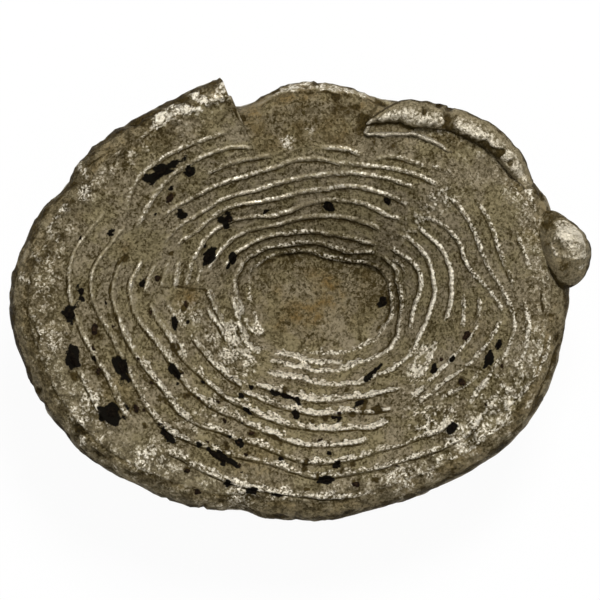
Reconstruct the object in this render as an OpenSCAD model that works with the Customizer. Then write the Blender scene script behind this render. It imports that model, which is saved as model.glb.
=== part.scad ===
// Cast silver ingot: an oval boat of metal with a dished top, ringed by the fine ridges that
// the surface froze into while the mould was rocked. A lap of skin lies folded over part of the
// rim, a drop of metal has frozen onto its edge, and chips of residue stick in the grooves.
// Sizes are in millimetres. The origin is the centre of the base, with +Z up and +X along the length.
// Bearings are in degrees from +X, seen from the middle of the hollow's floor.

/* [Rim] */
// Length of the oval rim
rim_l = 54.4; // [46:0.2:64]
// Width of the oval rim
rim_w = 42.8; // [36:0.2:52]
// Height of the rim crest at the middle of the long sides
rim_h = 13.7; // [11:0.1:20]
// Extra height of the crest at the two long ends
end_lift = 1.6; // [0:0.1:4]
// Distance from the outline in to the crest
crest_inset = 2.2; // [1.4:0.1:3]
// Depth of the widest line of the outline below the crest
roll_drop = 2.8; // [1.5:0.1:4]
// Shift of the oval along X from the centre of the base
rim_x = -1; // [-3:0.1:3]

/* [Base] */
// Length of the flat base
base_l = 27; // [20:0.5:36]
// Width of the flat base
base_w = 19; // [14:0.5:28]

/* [Hollow] */
// Length of the hollow's flat floor
floor_l = 13.8; // [9:0.2:18]
// Width of the hollow's flat floor
floor_w = 9.8; // [7:0.2:13]
// Height of the floor above the base
floor_h = 6.3; // [4.5:0.1:9]
// Shift of the floor along X from the centre of the base
floor_x = 1.7; // [-2:0.1:3]
// Shift of the floor along Y from the centre of the base
floor_y = -0.3; // [-1.5:0.1:1.5]
// How fast the hollow's side flattens on its way up to the rim
flare = 1.7; // [1.2:0.05:2.4]
// Mean width of the plain band between the last ridge and the outline
band_w = 4.1; // [3.6:0.1:5]
// How much the band widens on its broad side and narrows across from it
band_swing = 1.2; // [0:0.1:1.4]
// Bearing of the band's broad side
band_at = 150; // [90:5:210]

/* [Ridges] */
// Number of ridges around the hollow
ridge_count = 10; // [6:1:12]
// Height of a ridge
ridge_h = 0.5; // [0.2:0.05:0.8]
// Share of the pitch taken by the steep outer side of a ridge
ridge_drop_share = 0.3; // [0.2:0.05:0.5]
// How far a ridge wanders from its even place, as a share of the pitch
ridge_wander = 0.16; // [0:0.02:0.24]

/* [Tear and spout] */
// Bearing of the torn edge of the rim
tear_at = 113.3; // [100:0.1:120]
// Reach of the torn tab past the oval
tab_reach = 0.8; // [0:0.1:1.5]
// Depth of the notch beside the tab
notch_d = 2.3; // [0.5:0.1:3]
// Drop of the crest between the lap's root and the tear
spout_drop = 1.2; // [0.4:0.1:2]

/* [Lap] */
// Bearing of the lap's root, where it joins the rim
lap_from = 27.5; // [22.5:2.5:35]
// Bearing of the lap's nose
lap_to = 75; // [65:2.5:80]
// Width of the lap, from the outline in to its inner lip
lap_w = 4.6; // [3.6:0.1:5.4]
// Thickness of the lap at its crest
lap_t = 1.9; // [1.2:0.1:2.6]
// Depth of the groove between the lap's two lips
lap_groove = 0.7; // [0:0.1:0.8]

/* [Drop] */
// Bearing of the frozen drop
drop_at = 12.5; // [8:0.5:14]
// Width of the drop along the rim
drop_w = 6; // [4:0.1:7]
// Thickness of the drop at its middle
drop_t = 2.9; // [1:0.1:3.5]

/* [Flecks] */
// Thickness of a chip of residue
fleck_t = 0.25; // [0.15:0.01:0.5]
// Gap between a chip and the metal under it
fleck_gap = 0.04; // [0.02:0.01:0.1]

/* [Hidden] */

SILVER = "#8f8b7c";
BRIGHT_SILVER = "#a9a493";
CHARCOAL = "#15130f";
RUST = "#4a3222";

// Swells and dents of the outline: bearing, spread in degrees, reach as a share of the rim's width
SWELLS = [[44, 14, 0.035], [74, 8, -0.013], [140, 10, -0.008], [155, 6, -0.027], [166, 7, -0.012],
          [192, 7, -0.006], [216, 12, 0.006], [250, 5, -0.013], [273, 7, 0.007], [325, 17, 0.012],
          [352, 8, -0.006]];
// Places where the ridges break: bearing, spread in degrees
BREAKS = [[41, 5], [167, 6], [226, 7], [316, 7]];

// Chips of residue: bearing, share of the way from the floor's middle to the outline,
// length along the ridge, width, skew in degrees
CHARCOAL_CHIPS = [
    [140.2, 0.76, 3.2, 1, 4], [134.3, 0.7, 1, 1, 0], [147, 0.59, 0.7, 1, 1], [137, 0.47, 1.2, 1, 2],
    [157.5, 0.42, 1.9, 1, -3], [153.4, 0.34, 1.4, 0.7, 2], [161.7, 0.74, 0.8, 0.7, 0],
    [177.1, 0.76, 1.4, 0.6, 1], [182.5, 0.8, 1.5, 1.2, -1], [192.9, 0.83, 2.3, 0.8, 1],
    [198.1, 0.69, 1.5, 1.2, 1], [207.8, 0.81, 1.4, 1.3, 0], [220.8, 0.75, 1.8, 0.8, -2],
    [236.8, 0.75, 4, 0.8, 2], [253, 0.44, 3, 0.6, 0], [258.9, 0.51, 1, 0.8, 1],
    [206.4, 0.55, 1.9, 0.6, 2], [239.9, 0.67, 0.8, 0.8, 0], [243.8, 0.86, 0.8, 0.6, 1],
    [251.2, 0.89, 0.8, 0.8, 0], [258.6, 0.88, 0.9, 0.7, -1], [309.5, 0.39, 1.5, 0.5, 2],
    [278.4, 0.53, 1, 0.6, 0], [272.9, 0.8, 1.9, 0.6, -1], [276.6, 0.75, 0.8, 0.5, 0],
    [346.6, 0.74, 1.2, 0.7, 1], [341.8, 0.72, 1.2, 0.6, -1], [330, 0.55, 1, 0.6, 0],
    [83.5, 0.44, 1, 0.7, 0], [55.5, 0.52, 0.7, 0.5, 0], [187.5, 0.47, 1.3, 0.5, 1],
    [173.8, 0.57, 0.8, 0.6, 0], [292.1, 0.5, 1.1, 0.5, 0], [317.2, 0.78, 0.9, 0.6, 1],
    [119.9, 0.42, 0.9, 0.6, 0]];
RUST_CHIPS = [
    [144.6, 0.66, 1.4, 0.8, 1], [210.2, 0.74, 1.1, 0.8, -1], [243.3, 0.62, 0.9, 0.7, 0],
    [186.6, 0.73, 1.8, 1, -2], [237.4, 0.92, 1.1, 0.7, 0], [281.9, 0.85, 1.1, 1, 1],
    [347.6, 0.61, 1.3, 1, 2], [171.2, 0.53, 1, 0.7, 0], [232.1, 0.85, 0.9, 0.7, 1],
    [197.2, 0.77, 1, 0.7, -1]];

// Depth of the belly that the level base cuts off
base_cut = 0.3;
tab_run = 11;
notch_run = 12;
spout_ramp = 5;
spout_band = 0.7;
spout_spread = 18;
lap_margin = 0.8;
lap_blend = 22;
lap_taper = 14;
lap_nose = 1.8;
lap_rim = 0.3;
lap_edge = 0.3;
rim_turn = 3.5;
tear_start = 0.55;
drop_edge = 0.2;
break_depth = 0.8;
ridge_crowding = 1.25;
ridge_start = 0.6;
floor_dish = 0.25;
floor_power = 2.8;
chip_cuts = 4;
section_cuts = 8;
drop_cuts = 5;

// Shares of the way along each stretch of a spoke at which the loft has a ring
FLOOR_RINGS = [0.5, 1];
PITCH_RINGS = [0, ridge_drop_share, mix(ridge_drop_share, 1, 0.6)];
BAND_RINGS = [0.2, 0.6];
ROLL_RINGS = [0, 0.3, 0.6, 0.85, 1];
WALL_RINGS = [0.2, 0.4, 0.6, 0.8, 1];
// Height of the ridge profile at each of the rings in a pitch
PITCH_HEIGHTS = [1, 0, 0.3];

// Ring numbers at which each stretch starts
first_ridge = len(FLOOR_RINGS);
first_band = first_ridge + ridge_count * len(PITCH_RINGS);
first_roll = first_band + len(BAND_RINGS);
first_wall = first_roll + len(ROLL_RINGS);

// Bearings of the spokes: fine along the drop, the lap and the spout, coarse elsewhere
coarse_step = 5;
fine_step = 2.5;
tear_slit = 0.3;
STATIONS = concat(
    [for (a = [0 : fine_step : tear_at - fine_step / 2]) a],
    [tear_at - tear_slit, tear_at + tear_slit],
    [for (a = [ceil(tear_at / coarse_step + 0.2) * coarse_step : coarse_step : 360 - coarse_step]) a]);

// Turns an angle into the range from -180 to 180
function turn(a) = a - 360 * floor((a + 180) / 360);
// A smooth hump of height 1
function hump(x, spread) = exp(-pow(x / spread, 2));
// A smooth rise from 0 to 1
function rise(x) = let (t = min(max(x, 0), 1)) t * t * (3 - 2 * t);
function total(list) = list * [for (i = list) 1];
function mix(a, b, t) = a + (b - a) * t;

// Distance from the floor's middle, along bearing a, to an ellipse with its centre at x on the X axis
function ellipse_r(a, x, l, w) =
    let (u = [2 * cos(a) / l, 2 * sin(a) / w],
         p = [2 * (floor_x - x) / l, 2 * floor_y / w],
         b = p * u)
    (sqrt(b * b - (u * u) * (p * p - 1)) - b) / (u * u);
// Distance from the floor's middle to the floor's edge
function floor_r(a) =
    let (along = pow(abs(cos(a)) * 2 / floor_l, floor_power),
         across = pow(abs(sin(a)) * 2 / floor_w, floor_power))
    pow(along + across, -1 / floor_power);

function past_tear(a) = turn(a - tear_at) > 0;
function tear_reach(a) = let (gap = turn(a - tear_at))
    gap > 0 ? tab_reach * hump(gap, tab_run) : -notch_d * hump(gap, notch_run);
// Distance from the floor's middle to the outline, without the tear and with it
function whole_r(a) = ellipse_r(a, rim_x, rim_l, rim_w)
    + rim_w * total([for (s = SWELLS) s[2] * hump(turn(a - s[0]), s[1])]);
function outline_r(a) = whole_r(a) + tear_reach(a);
function crest_r(a) = outline_r(a) - crest_inset;

// The rim dips from the lap's root to the tear: the lap lies in the dip, and the rest is a spout
function in_dip(a) = past_tear(a) || turn(a) < 0 ? 0 : rise((turn(a) - lap_from) / spout_ramp);
function crest_h(a, dip = 1) = rim_h + end_lift * pow(cos(a), 2) - spout_drop * in_dip(a) * dip;

// The band has room for the lap that lies on it and for the notch beside the tab
function band(a) = max(
    band_w + band_swing * cos(a - band_at) + spout_band * hump(turn(a - (lap_to + tear_at) / 2), spout_spread),
    (lap_w + lap_margin) * rise((turn(a) - lap_from) / lap_blend + 1) * rise((tear_at - turn(a)) / lap_blend),
    crest_inset + lap_margin + notch_d * hump(turn(a - tear_at), notch_run));
function ridged_l(a) = whole_r(a) - band(a) - floor_r(a);

// Distance of ridge crest k from the floor's middle, even places plus a little wander
function even_place(k) = pow((k + ridge_start) / ridge_count, ridge_crowding);
function wander(a, k) = ridge_wander
    * (sin((3 + k % 3) * a + 70 * k) + 0.5 * sin((7 + k % 2) * a + 130 * k));
function ridge_r(a, k) = floor_r(a) + ridged_l(a)
    * (even_place(k) + wander(a, k) * (even_place(k + 1) - even_place(k)) * rise(ridge_count - k));
// Where the pitch of ridge k ends: at the next ridge, or half way to the rim's crest for the last one
function pitch_end(a, k) =
    k < ridge_count - 1 ? ridge_r(a, k + 1) : mix(ridge_r(a, k), crest_r(a), 0.5);
function ridge_strength(a) = 1 - break_depth * max([for (b = BREAKS) hump(turn(a - b[0]), b[1])]);

// Height of the hollow's plain side, at a distance r from the floor's middle
// The tear and the dip only shape the upper part of the side
function side_h(a, r) =
    let (whole = whole_r(a) - crest_inset - floor_r(a),
         torn = crest_r(a) - floor_r(a),
         t = min(max((r - floor_r(a)) / torn, 0), 1),
         near_rim = rise((t - tear_start) / (1 - tear_start)),
         u = min(t * mix(torn / whole, 1, near_rim), 1))
    mix(floor_h, crest_h(a, near_rim), 1 - pow(1 - u, flare));

// Points of one spoke's section, each as distance from the floor's middle and height
function floor_section(a) = [for (t = FLOOR_RINGS)
    [floor_r(a) * t, floor_h - floor_dish * (1 - t * t)]];
function ridge_section(a) = [for (k = [0 : ridge_count - 1])
    let (near = ridge_r(a, k), far = pitch_end(a, k))
    for (i = [0 : len(PITCH_RINGS) - 1])
        let (r = mix(near, far, PITCH_RINGS[i]), last = k == ridge_count - 1 && i > 0)
        [r, side_h(a, r) + (last ? 0 : ridge_h * ridge_strength(a) * PITCH_HEIGHTS[i])]];
function band_section(a) =
    let (near = pitch_end(a, ridge_count - 1))
    [for (t = BAND_RINGS) let (r = mix(near, crest_r(a), t)) [r, side_h(a, r)]];
function roll_section(a) = [for (t = ROLL_RINGS)
    [crest_r(a) + crest_inset * sin(90 * t), crest_h(a) - roll_drop * (1 - cos(90 * t))]];
function wall_section(a) =
    let (foot = ellipse_r(a, 0, base_l, base_w))
    [for (t = WALL_RINGS)
        let (near_rim = 1 - rise(t / tear_start))
        [mix(foot, whole_r(a) + tear_reach(a) * near_rim, cos(90 * t)),
         mix(-base_cut, crest_h(a, near_rim) - roll_drop, 1 - sin(90 * t))]];
function section(a) =
    concat(floor_section(a), ridge_section(a), band_section(a), roll_section(a), wall_section(a));

// A point in space from a bearing and a point of that bearing's section
function place(a, p) = [floor_x + p[0] * cos(a), floor_y + p[0] * sin(a), p[1]];
// A point between two rings of a section, with w counted in rings
function between(rings, w) = let (i = min(floor(w), len(rings) - 2)) mix(rings[i], rings[i + 1], w - i);
// The place, counted in rings, at which a section reaches the distance r
function ring_at(rings, r) =
    let (i = len([for (j = [0 : first_wall - 2]) if (rings[j][0] <= r) j]) - 1)
    i + (r - rings[i][0]) / (rings[i + 1][0] - rings[i][0]);

// A closed solid round the floor's middle, through rings of equal length, with a fan at each end
module loft(spokes, start, end) {
    n = len(spokes);
    m = len(spokes[0]);
    points = concat([for (s = spokes, p = s) p], [start, end]);
    cells = [for (i = [0 : n - 1], j = [0 : m - 2]) [i * m + j, ((i + 1) % n) * m + j]];
    faces = concat(
        [for (c = cells) [c[0], c[1], c[1] + 1]],
        [for (c = cells) [c[0], c[1] + 1, c[0] + 1]],
        [for (i = [0 : n - 1]) [n * m, ((i + 1) % n) * m, i * m]],
        [for (i = [0 : n - 1]) [n * m + 1, i * m + m - 1, ((i + 1) % n) * m + m - 1]]);
    polyhedron(points, faces);
}

// A closed solid between a lower and an upper grid, with walls along their four edges
module pad(lower, upper) {
    n = len(lower);
    m = len(lower[0]);
    up = n * m;
    points = concat([for (row = lower, p = row) p], [for (row = upper, p = row) p]);
    cells = [for (i = [0 : n - 2], j = [0 : m - 2]) i * m + j];
    edge = concat(
        [for (j = [0 : m - 2]) [j, j + 1]],
        [for (i = [0 : n - 2]) [i * m + m - 1, (i + 1) * m + m - 1]],
        [for (j = [m - 1 : -1 : 1]) [(n - 1) * m + j, (n - 1) * m + j - 1]],
        [for (i = [n - 1 : -1 : 1]) [i * m, (i - 1) * m]]);
    faces = concat(
        [for (p = cells) [up + p, up + p + m, up + p + m + 1]],
        [for (p = cells) [up + p, up + p + m + 1, up + p + 1]],
        [for (p = cells) [p, p + m + 1, p + m]],
        [for (p = cells) [p, p + 1, p + m + 1]],
        [for (e = edge) [e[0], up + e[0], up + e[1]]],
        [for (e = edge) [e[0], up + e[1], e[1]]]);
    polyhedron(points, faces);
}

// The casting, cut level at the base
module ingot_body() {
    color(SILVER)
        difference() {
            loft([for (a = STATIONS) [for (p = section(a)) place(a, p)]],
                [floor_x, floor_y, floor_h - floor_dish], [0, 0, -base_cut]);
            translate([-rim_l, -rim_w, -rim_h]) cube([2 * rim_l, 2 * rim_w, rim_h]);
        }
}

// Direction in which a piece on the rim stands off the metal at ring place w
function off_rim(a, w) = let (lean = 90 * rise((w - first_roll) / rim_turn))
    [cos(a) * sin(lean), sin(a) * sin(lean), cos(lean)];

// The lap: a tongue with a rounded crest near the outline, a groove, and a lower lip inside
function lap_body(a) = rise((lap_to - a) / lap_taper);
function lap_groove_d(a) = lap_groove * rise((a - lap_from) / (lap_to - lap_from));
function lap_lift(a, s) = lap_edge + (lap_t - lap_edge) * rise((a - lap_from) / spout_ramp)
    * (0.5 + 0.5 * lap_body(a)) * (hump(s - 0.66, 0.24) + 0.5 * hump(s - 0.12, 0.14))
    - lap_groove_d(a) * hump(s - 0.34, 0.1);
module rim_lap() {
    places = [for (a = STATIONS) if (a >= lap_from && a <= lap_to)
        let (rings = section(a),
             inner = ring_at(rings, outline_r(a) - lap_w),
             outer = ring_at(rings, outline_r(a) - mix(lap_w - lap_nose, lap_rim, lap_body(a))))
        [for (j = [0 : section_cuts])
            let (s = j / section_cuts,
                 w = mix(inner, outer, s),
                 edge = j == 0 || j == section_cuts || a == lap_to,
                 lift = edge ? lap_edge : max(lap_edge, lap_lift(a, s)))
            [place(a, between(rings, w)), off_rim(a, w) * lift]]];
    color(BRIGHT_SILVER)
        pad([for (row = places) [for (p = row) p[0]]],
            [for (row = places) [for (p = row) p[0] + p[1]]]);
}

// The drop: a round bead that stands off the outer side of the rim
module rim_drop() {
    half = drop_w / 2 / outline_r(drop_at) * 180 / PI;
    places = [for (i = [-drop_cuts : drop_cuts]) [for (j = [-drop_cuts : drop_cuts])
        let (u = i / drop_cuts,
             v = j / drop_cuts,
             x = u * sqrt(1 - v * v / 2),
             y = v * sqrt(1 - u * u / 2),
             a = drop_at + half * x,
             w = mix(first_roll, first_wall - 0.2, (y + 1) / 2))
        [place(a, between(section(a), w)),
         off_rim(a, w) * max(drop_edge, drop_t * sqrt(max(0, 1 - x * x - y * y)))]]];
    color(BRIGHT_SILVER)
        pad([for (row = places) [for (p = row) p[0]]],
            [for (row = places) [for (p = row) p[0] + p[1]]]);
}

// A chip of residue that follows the metal under it, cut slantwise at its two ends
module chip(at) {
    from_middle = at[1] * outline_r(at[0]);
    span = at[2] / from_middle * 180 / PI;
    middle = section(at[0]);
    near = ring_at(middle, from_middle - at[3] / 2);
    far = ring_at(middle, from_middle + at[3] / 2);
    across = concat([near], [for (w = [ceil(near + 0.1) : floor(far - 0.1)]) w], [far]);
    under = [for (i = [0 : chip_cuts]) [for (w = across)
        let (a = at[0] + span * (i / chip_cuts - 0.5) + at[4] * ((w - near) / (far - near) - 0.5))
        place(a, between(section(a), w)) + [0, 0, fleck_gap]]];
    pad(under, [for (row = under) [for (p = row) p + [0, 0, fleck_t]]]);
}
module charcoal_flecks() {
    color(CHARCOAL)
        for (at = CHARCOAL_CHIPS) chip(at);
}
module rust_flecks() {
    color(RUST)
        for (at = RUST_CHIPS) chip(at);
}

ingot_body();
rim_lap();
rim_drop();
charcoal_flecks();
rust_flecks();
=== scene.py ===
import bpy
import numpy as np
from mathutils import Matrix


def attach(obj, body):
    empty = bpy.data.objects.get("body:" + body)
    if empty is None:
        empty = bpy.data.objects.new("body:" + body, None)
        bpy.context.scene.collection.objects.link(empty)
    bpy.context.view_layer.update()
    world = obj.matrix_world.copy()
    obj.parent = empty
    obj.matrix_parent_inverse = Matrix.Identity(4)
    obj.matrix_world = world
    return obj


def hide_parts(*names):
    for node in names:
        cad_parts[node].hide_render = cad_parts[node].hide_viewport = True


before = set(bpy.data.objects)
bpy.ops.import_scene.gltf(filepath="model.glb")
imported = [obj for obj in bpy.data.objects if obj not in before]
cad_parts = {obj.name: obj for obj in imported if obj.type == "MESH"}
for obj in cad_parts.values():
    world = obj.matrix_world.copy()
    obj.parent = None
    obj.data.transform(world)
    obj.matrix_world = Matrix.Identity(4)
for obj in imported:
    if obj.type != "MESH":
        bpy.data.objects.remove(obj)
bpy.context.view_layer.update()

# The casting: one pour of silver that froze in rings while the mould was rocked by hand.
# Tarnished grey-olive metal, worn bright on the crests, with painted light on ridge slopes facing the lamp
# and painted shade at their feet, browned in the floor and the spout.
# All shapes run round the middle of the hollow's floor, in millimetres and degrees.
MM = 0.001
rim_l = 54.4
rim_w = 42.8
rim_h = 13.7
rim_x = -1.0
end_lift = 1.6
crest_inset = 2.2
roll_drop = 2.8
base_l = 27.0
base_w = 19.0
base_cut = 0.3
floor_l = 13.8
floor_w = 9.8
floor_h = 6.3
floor_x = 1.7
floor_y = -0.3
floor_dish = 0.25
floor_power = 2.8
flare = 1.7
tear_at = 112.7
tear_edge = 0.1
tear_start = 0.55
tab_reach = 0.8
tab_run = 11.0
notch_d = 2.3
notch_run = 12.0
spout_drop = 1.2
spout_ramp = 5.0
lap_from = 27.5
lap_to = 75.0

# Swells and dents of the outline: bearing, spread in degrees, reach as a share of the rim's width
SWELLS = (
    (44, 14, 0.035), (74, 8, -0.013), (140, 10, -0.008), (155, 6, -0.027), (166, 7, -0.012),
    (192, 7, -0.006), (216, 12, 0.006), (250, 5, -0.013), (273, 7, 0.007), (325, 17, 0.012),
    (352, 8, -0.006), (23.5, 5, 0.012),
)
# Corners where the floor's edge runs inside or outside an even oval: bearing, spread, reach
FLOOR_DENTS = (
    (45, 16, -0.85), (70, 18, -0.75), (135, 12, 0.25), (226, 18, -0.55), (322, 26, -0.45),
)


def turn(a):
    return (a + 180) % 360 - 180


def hump(x, spread):
    return np.exp(-((x / spread) ** 2))


def rise(x):
    t = np.clip(x, 0, 1)
    return t * t * (3 - 2 * t)


def mix(a, b, t):
    return a + (b - a) * t


def cos_of(a):
    return np.cos(np.radians(a))


def sin_of(a):
    return np.sin(np.radians(a))


def ellipse_r(a, x, length, width):
    """Distance from the floor's middle, along bearing a, to an oval centred at x."""
    ux = 2 * cos_of(a) / length
    uy = 2 * sin_of(a) / width
    px = 2 * (floor_x - x) / length
    py = 2 * floor_y / width
    slope = px * ux + py * uy
    square = ux * ux + uy * uy
    return (np.sqrt(slope * slope - square * (px * px + py * py - 1)) - slope) / square


def floor_r(a):
    along = (np.abs(cos_of(a)) * 2 / floor_l) ** floor_power
    across = (np.abs(sin_of(a)) * 2 / floor_w) ** floor_power
    dents = sum(reach * hump(turn(a - at), spread) for at, spread, reach in FLOOR_DENTS)
    return (along + across) ** (-1 / floor_power) + dents


def tear_reach(a):
    gap = turn(a - tear_at)
    return np.where(gap > 0, tab_reach * hump(gap, tab_run), -notch_d * hump(gap, notch_run))


def whole_r(a):
    swells = sum(reach * hump(turn(a - at), spread) for at, spread, reach in SWELLS)
    return ellipse_r(a, rim_x, rim_l, rim_w) + rim_w * swells


def crest_r(a):
    return whole_r(a) + tear_reach(a) - crest_inset


def crest_h(a, dip=1.0):
    low = rise((turn(a) - lap_from) / spout_ramp)
    outside = (turn(a - tear_at) > 0) | (turn(a) < 0)
    return rim_h + end_lift * cos_of(a) ** 2 - spout_drop * np.where(outside, 0, low) * dip


def side_h(a, r):
    """Height of the hollow's plain side. The tear and the dip only shape its upper part."""
    whole = whole_r(a) - crest_inset - floor_r(a)
    torn = crest_r(a) - floor_r(a)
    t = np.clip((r - floor_r(a)) / torn, 0, 1)
    near_rim = rise((t - tear_start) / (1 - tear_start))
    u = np.minimum(t * mix(torn / whole, 1, near_rim), 1)
    return mix(floor_h, crest_h(a, near_rim), 1 - (1 - u) ** flare)


def place(a, r, z):
    return np.stack([floor_x + r * cos_of(a), floor_y + r * sin_of(a), z + 0 * r], axis=-1)


def cast_grain(points, size, seed):
    """A smooth random field from -1 to 1, with lumps of the given size."""
    cells = 24
    lattice = np.random.default_rng(seed).uniform(-1, 1, (cells, cells, cells))
    lean = np.array([[0.8, 0.36, 0.48], [-0.6, 0.48, 0.64], [0.0, -0.8, 0.6]])
    spot = points @ lean / size
    low = np.floor(spot).astype(int)
    t = rise(spot - low)
    value = 0
    for corner in np.ndindex(2, 2, 2):
        i = (low + corner) % cells
        share = np.prod(np.where(np.array(corner) == 1, t, 1 - t), axis=-1)
        value = value + share * lattice[i[..., 0], i[..., 1], i[..., 2]]
    return value


spokes = 372
floor_rings = 26
hollow_rings = 186
roll_rings = 14
wall_rings = 22
base_rings = 4
bearing = np.arange(spokes)[:, None] * 360 / spokes
tear_spoke = int(tear_at * spokes / 360)
bearing[tear_spoke] = tear_at - tear_edge
bearing[tear_spoke + 1] = tear_at + tear_edge

t = np.linspace(0.03, 1, floor_rings)[None, :]
floor_skin = place(bearing, floor_r(bearing) * t, floor_h - floor_dish * (1 - t * t))
t = np.linspace(0, 1, hollow_rings + 1)[None, 1:]
near_rim = rise((t - tear_start) / (1 - tear_start))
hollow_r = mix(floor_r(bearing), whole_r(bearing) - crest_inset + tear_reach(bearing) * near_rim, t)
hollow_skin = place(bearing, hollow_r, side_h(bearing, hollow_r))
t = 90 * np.linspace(0, 1, roll_rings + 1)[None, 1:]
roll_skin = place(bearing, crest_r(bearing) + crest_inset * sin_of(t),
                  crest_h(bearing) - roll_drop * (1 - cos_of(t)))
foot_top = crest_h(bearing, 0.0) - roll_drop
foot_share = np.degrees(np.arcsin(1 - base_cut / (foot_top + base_cut))) / 90
t = np.linspace(0, 1, wall_rings + 1)[None, 1:] * foot_share
near_rim = 1 - rise(t / tear_start)
wall_r = mix(ellipse_r(bearing, 0, base_l, base_w),
             whole_r(bearing) + tear_reach(bearing) * near_rim, cos_of(90 * t))
wall_z = mix(-base_cut, crest_h(bearing, near_rim) - roll_drop, 1 - sin_of(90 * t))
wall_skin = place(bearing, wall_r, np.maximum(wall_z, 0))
t = np.linspace(1, 0, base_rings + 1)[None, 1:-1]
base_skin = place(bearing, wall_r[:, -1:] * t, 0)
skin = np.concatenate([floor_skin, hollow_skin, roll_skin, wall_skin, base_skin], axis=1)
rings = skin.shape[1]
ring = np.arange(rings)[None, :]
on_top = ring < floor_rings + hollow_rings
on_roll = (ring >= floor_rings + hollow_rings) & (ring < floor_rings + hollow_rings + roll_rings)
on_wall = (ring >= floor_rings + hollow_rings + roll_rings) & (ring < rings - base_rings + 1)
from_middle = np.hypot(skin[..., 0] - floor_x, skin[..., 1] - floor_y)

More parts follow.
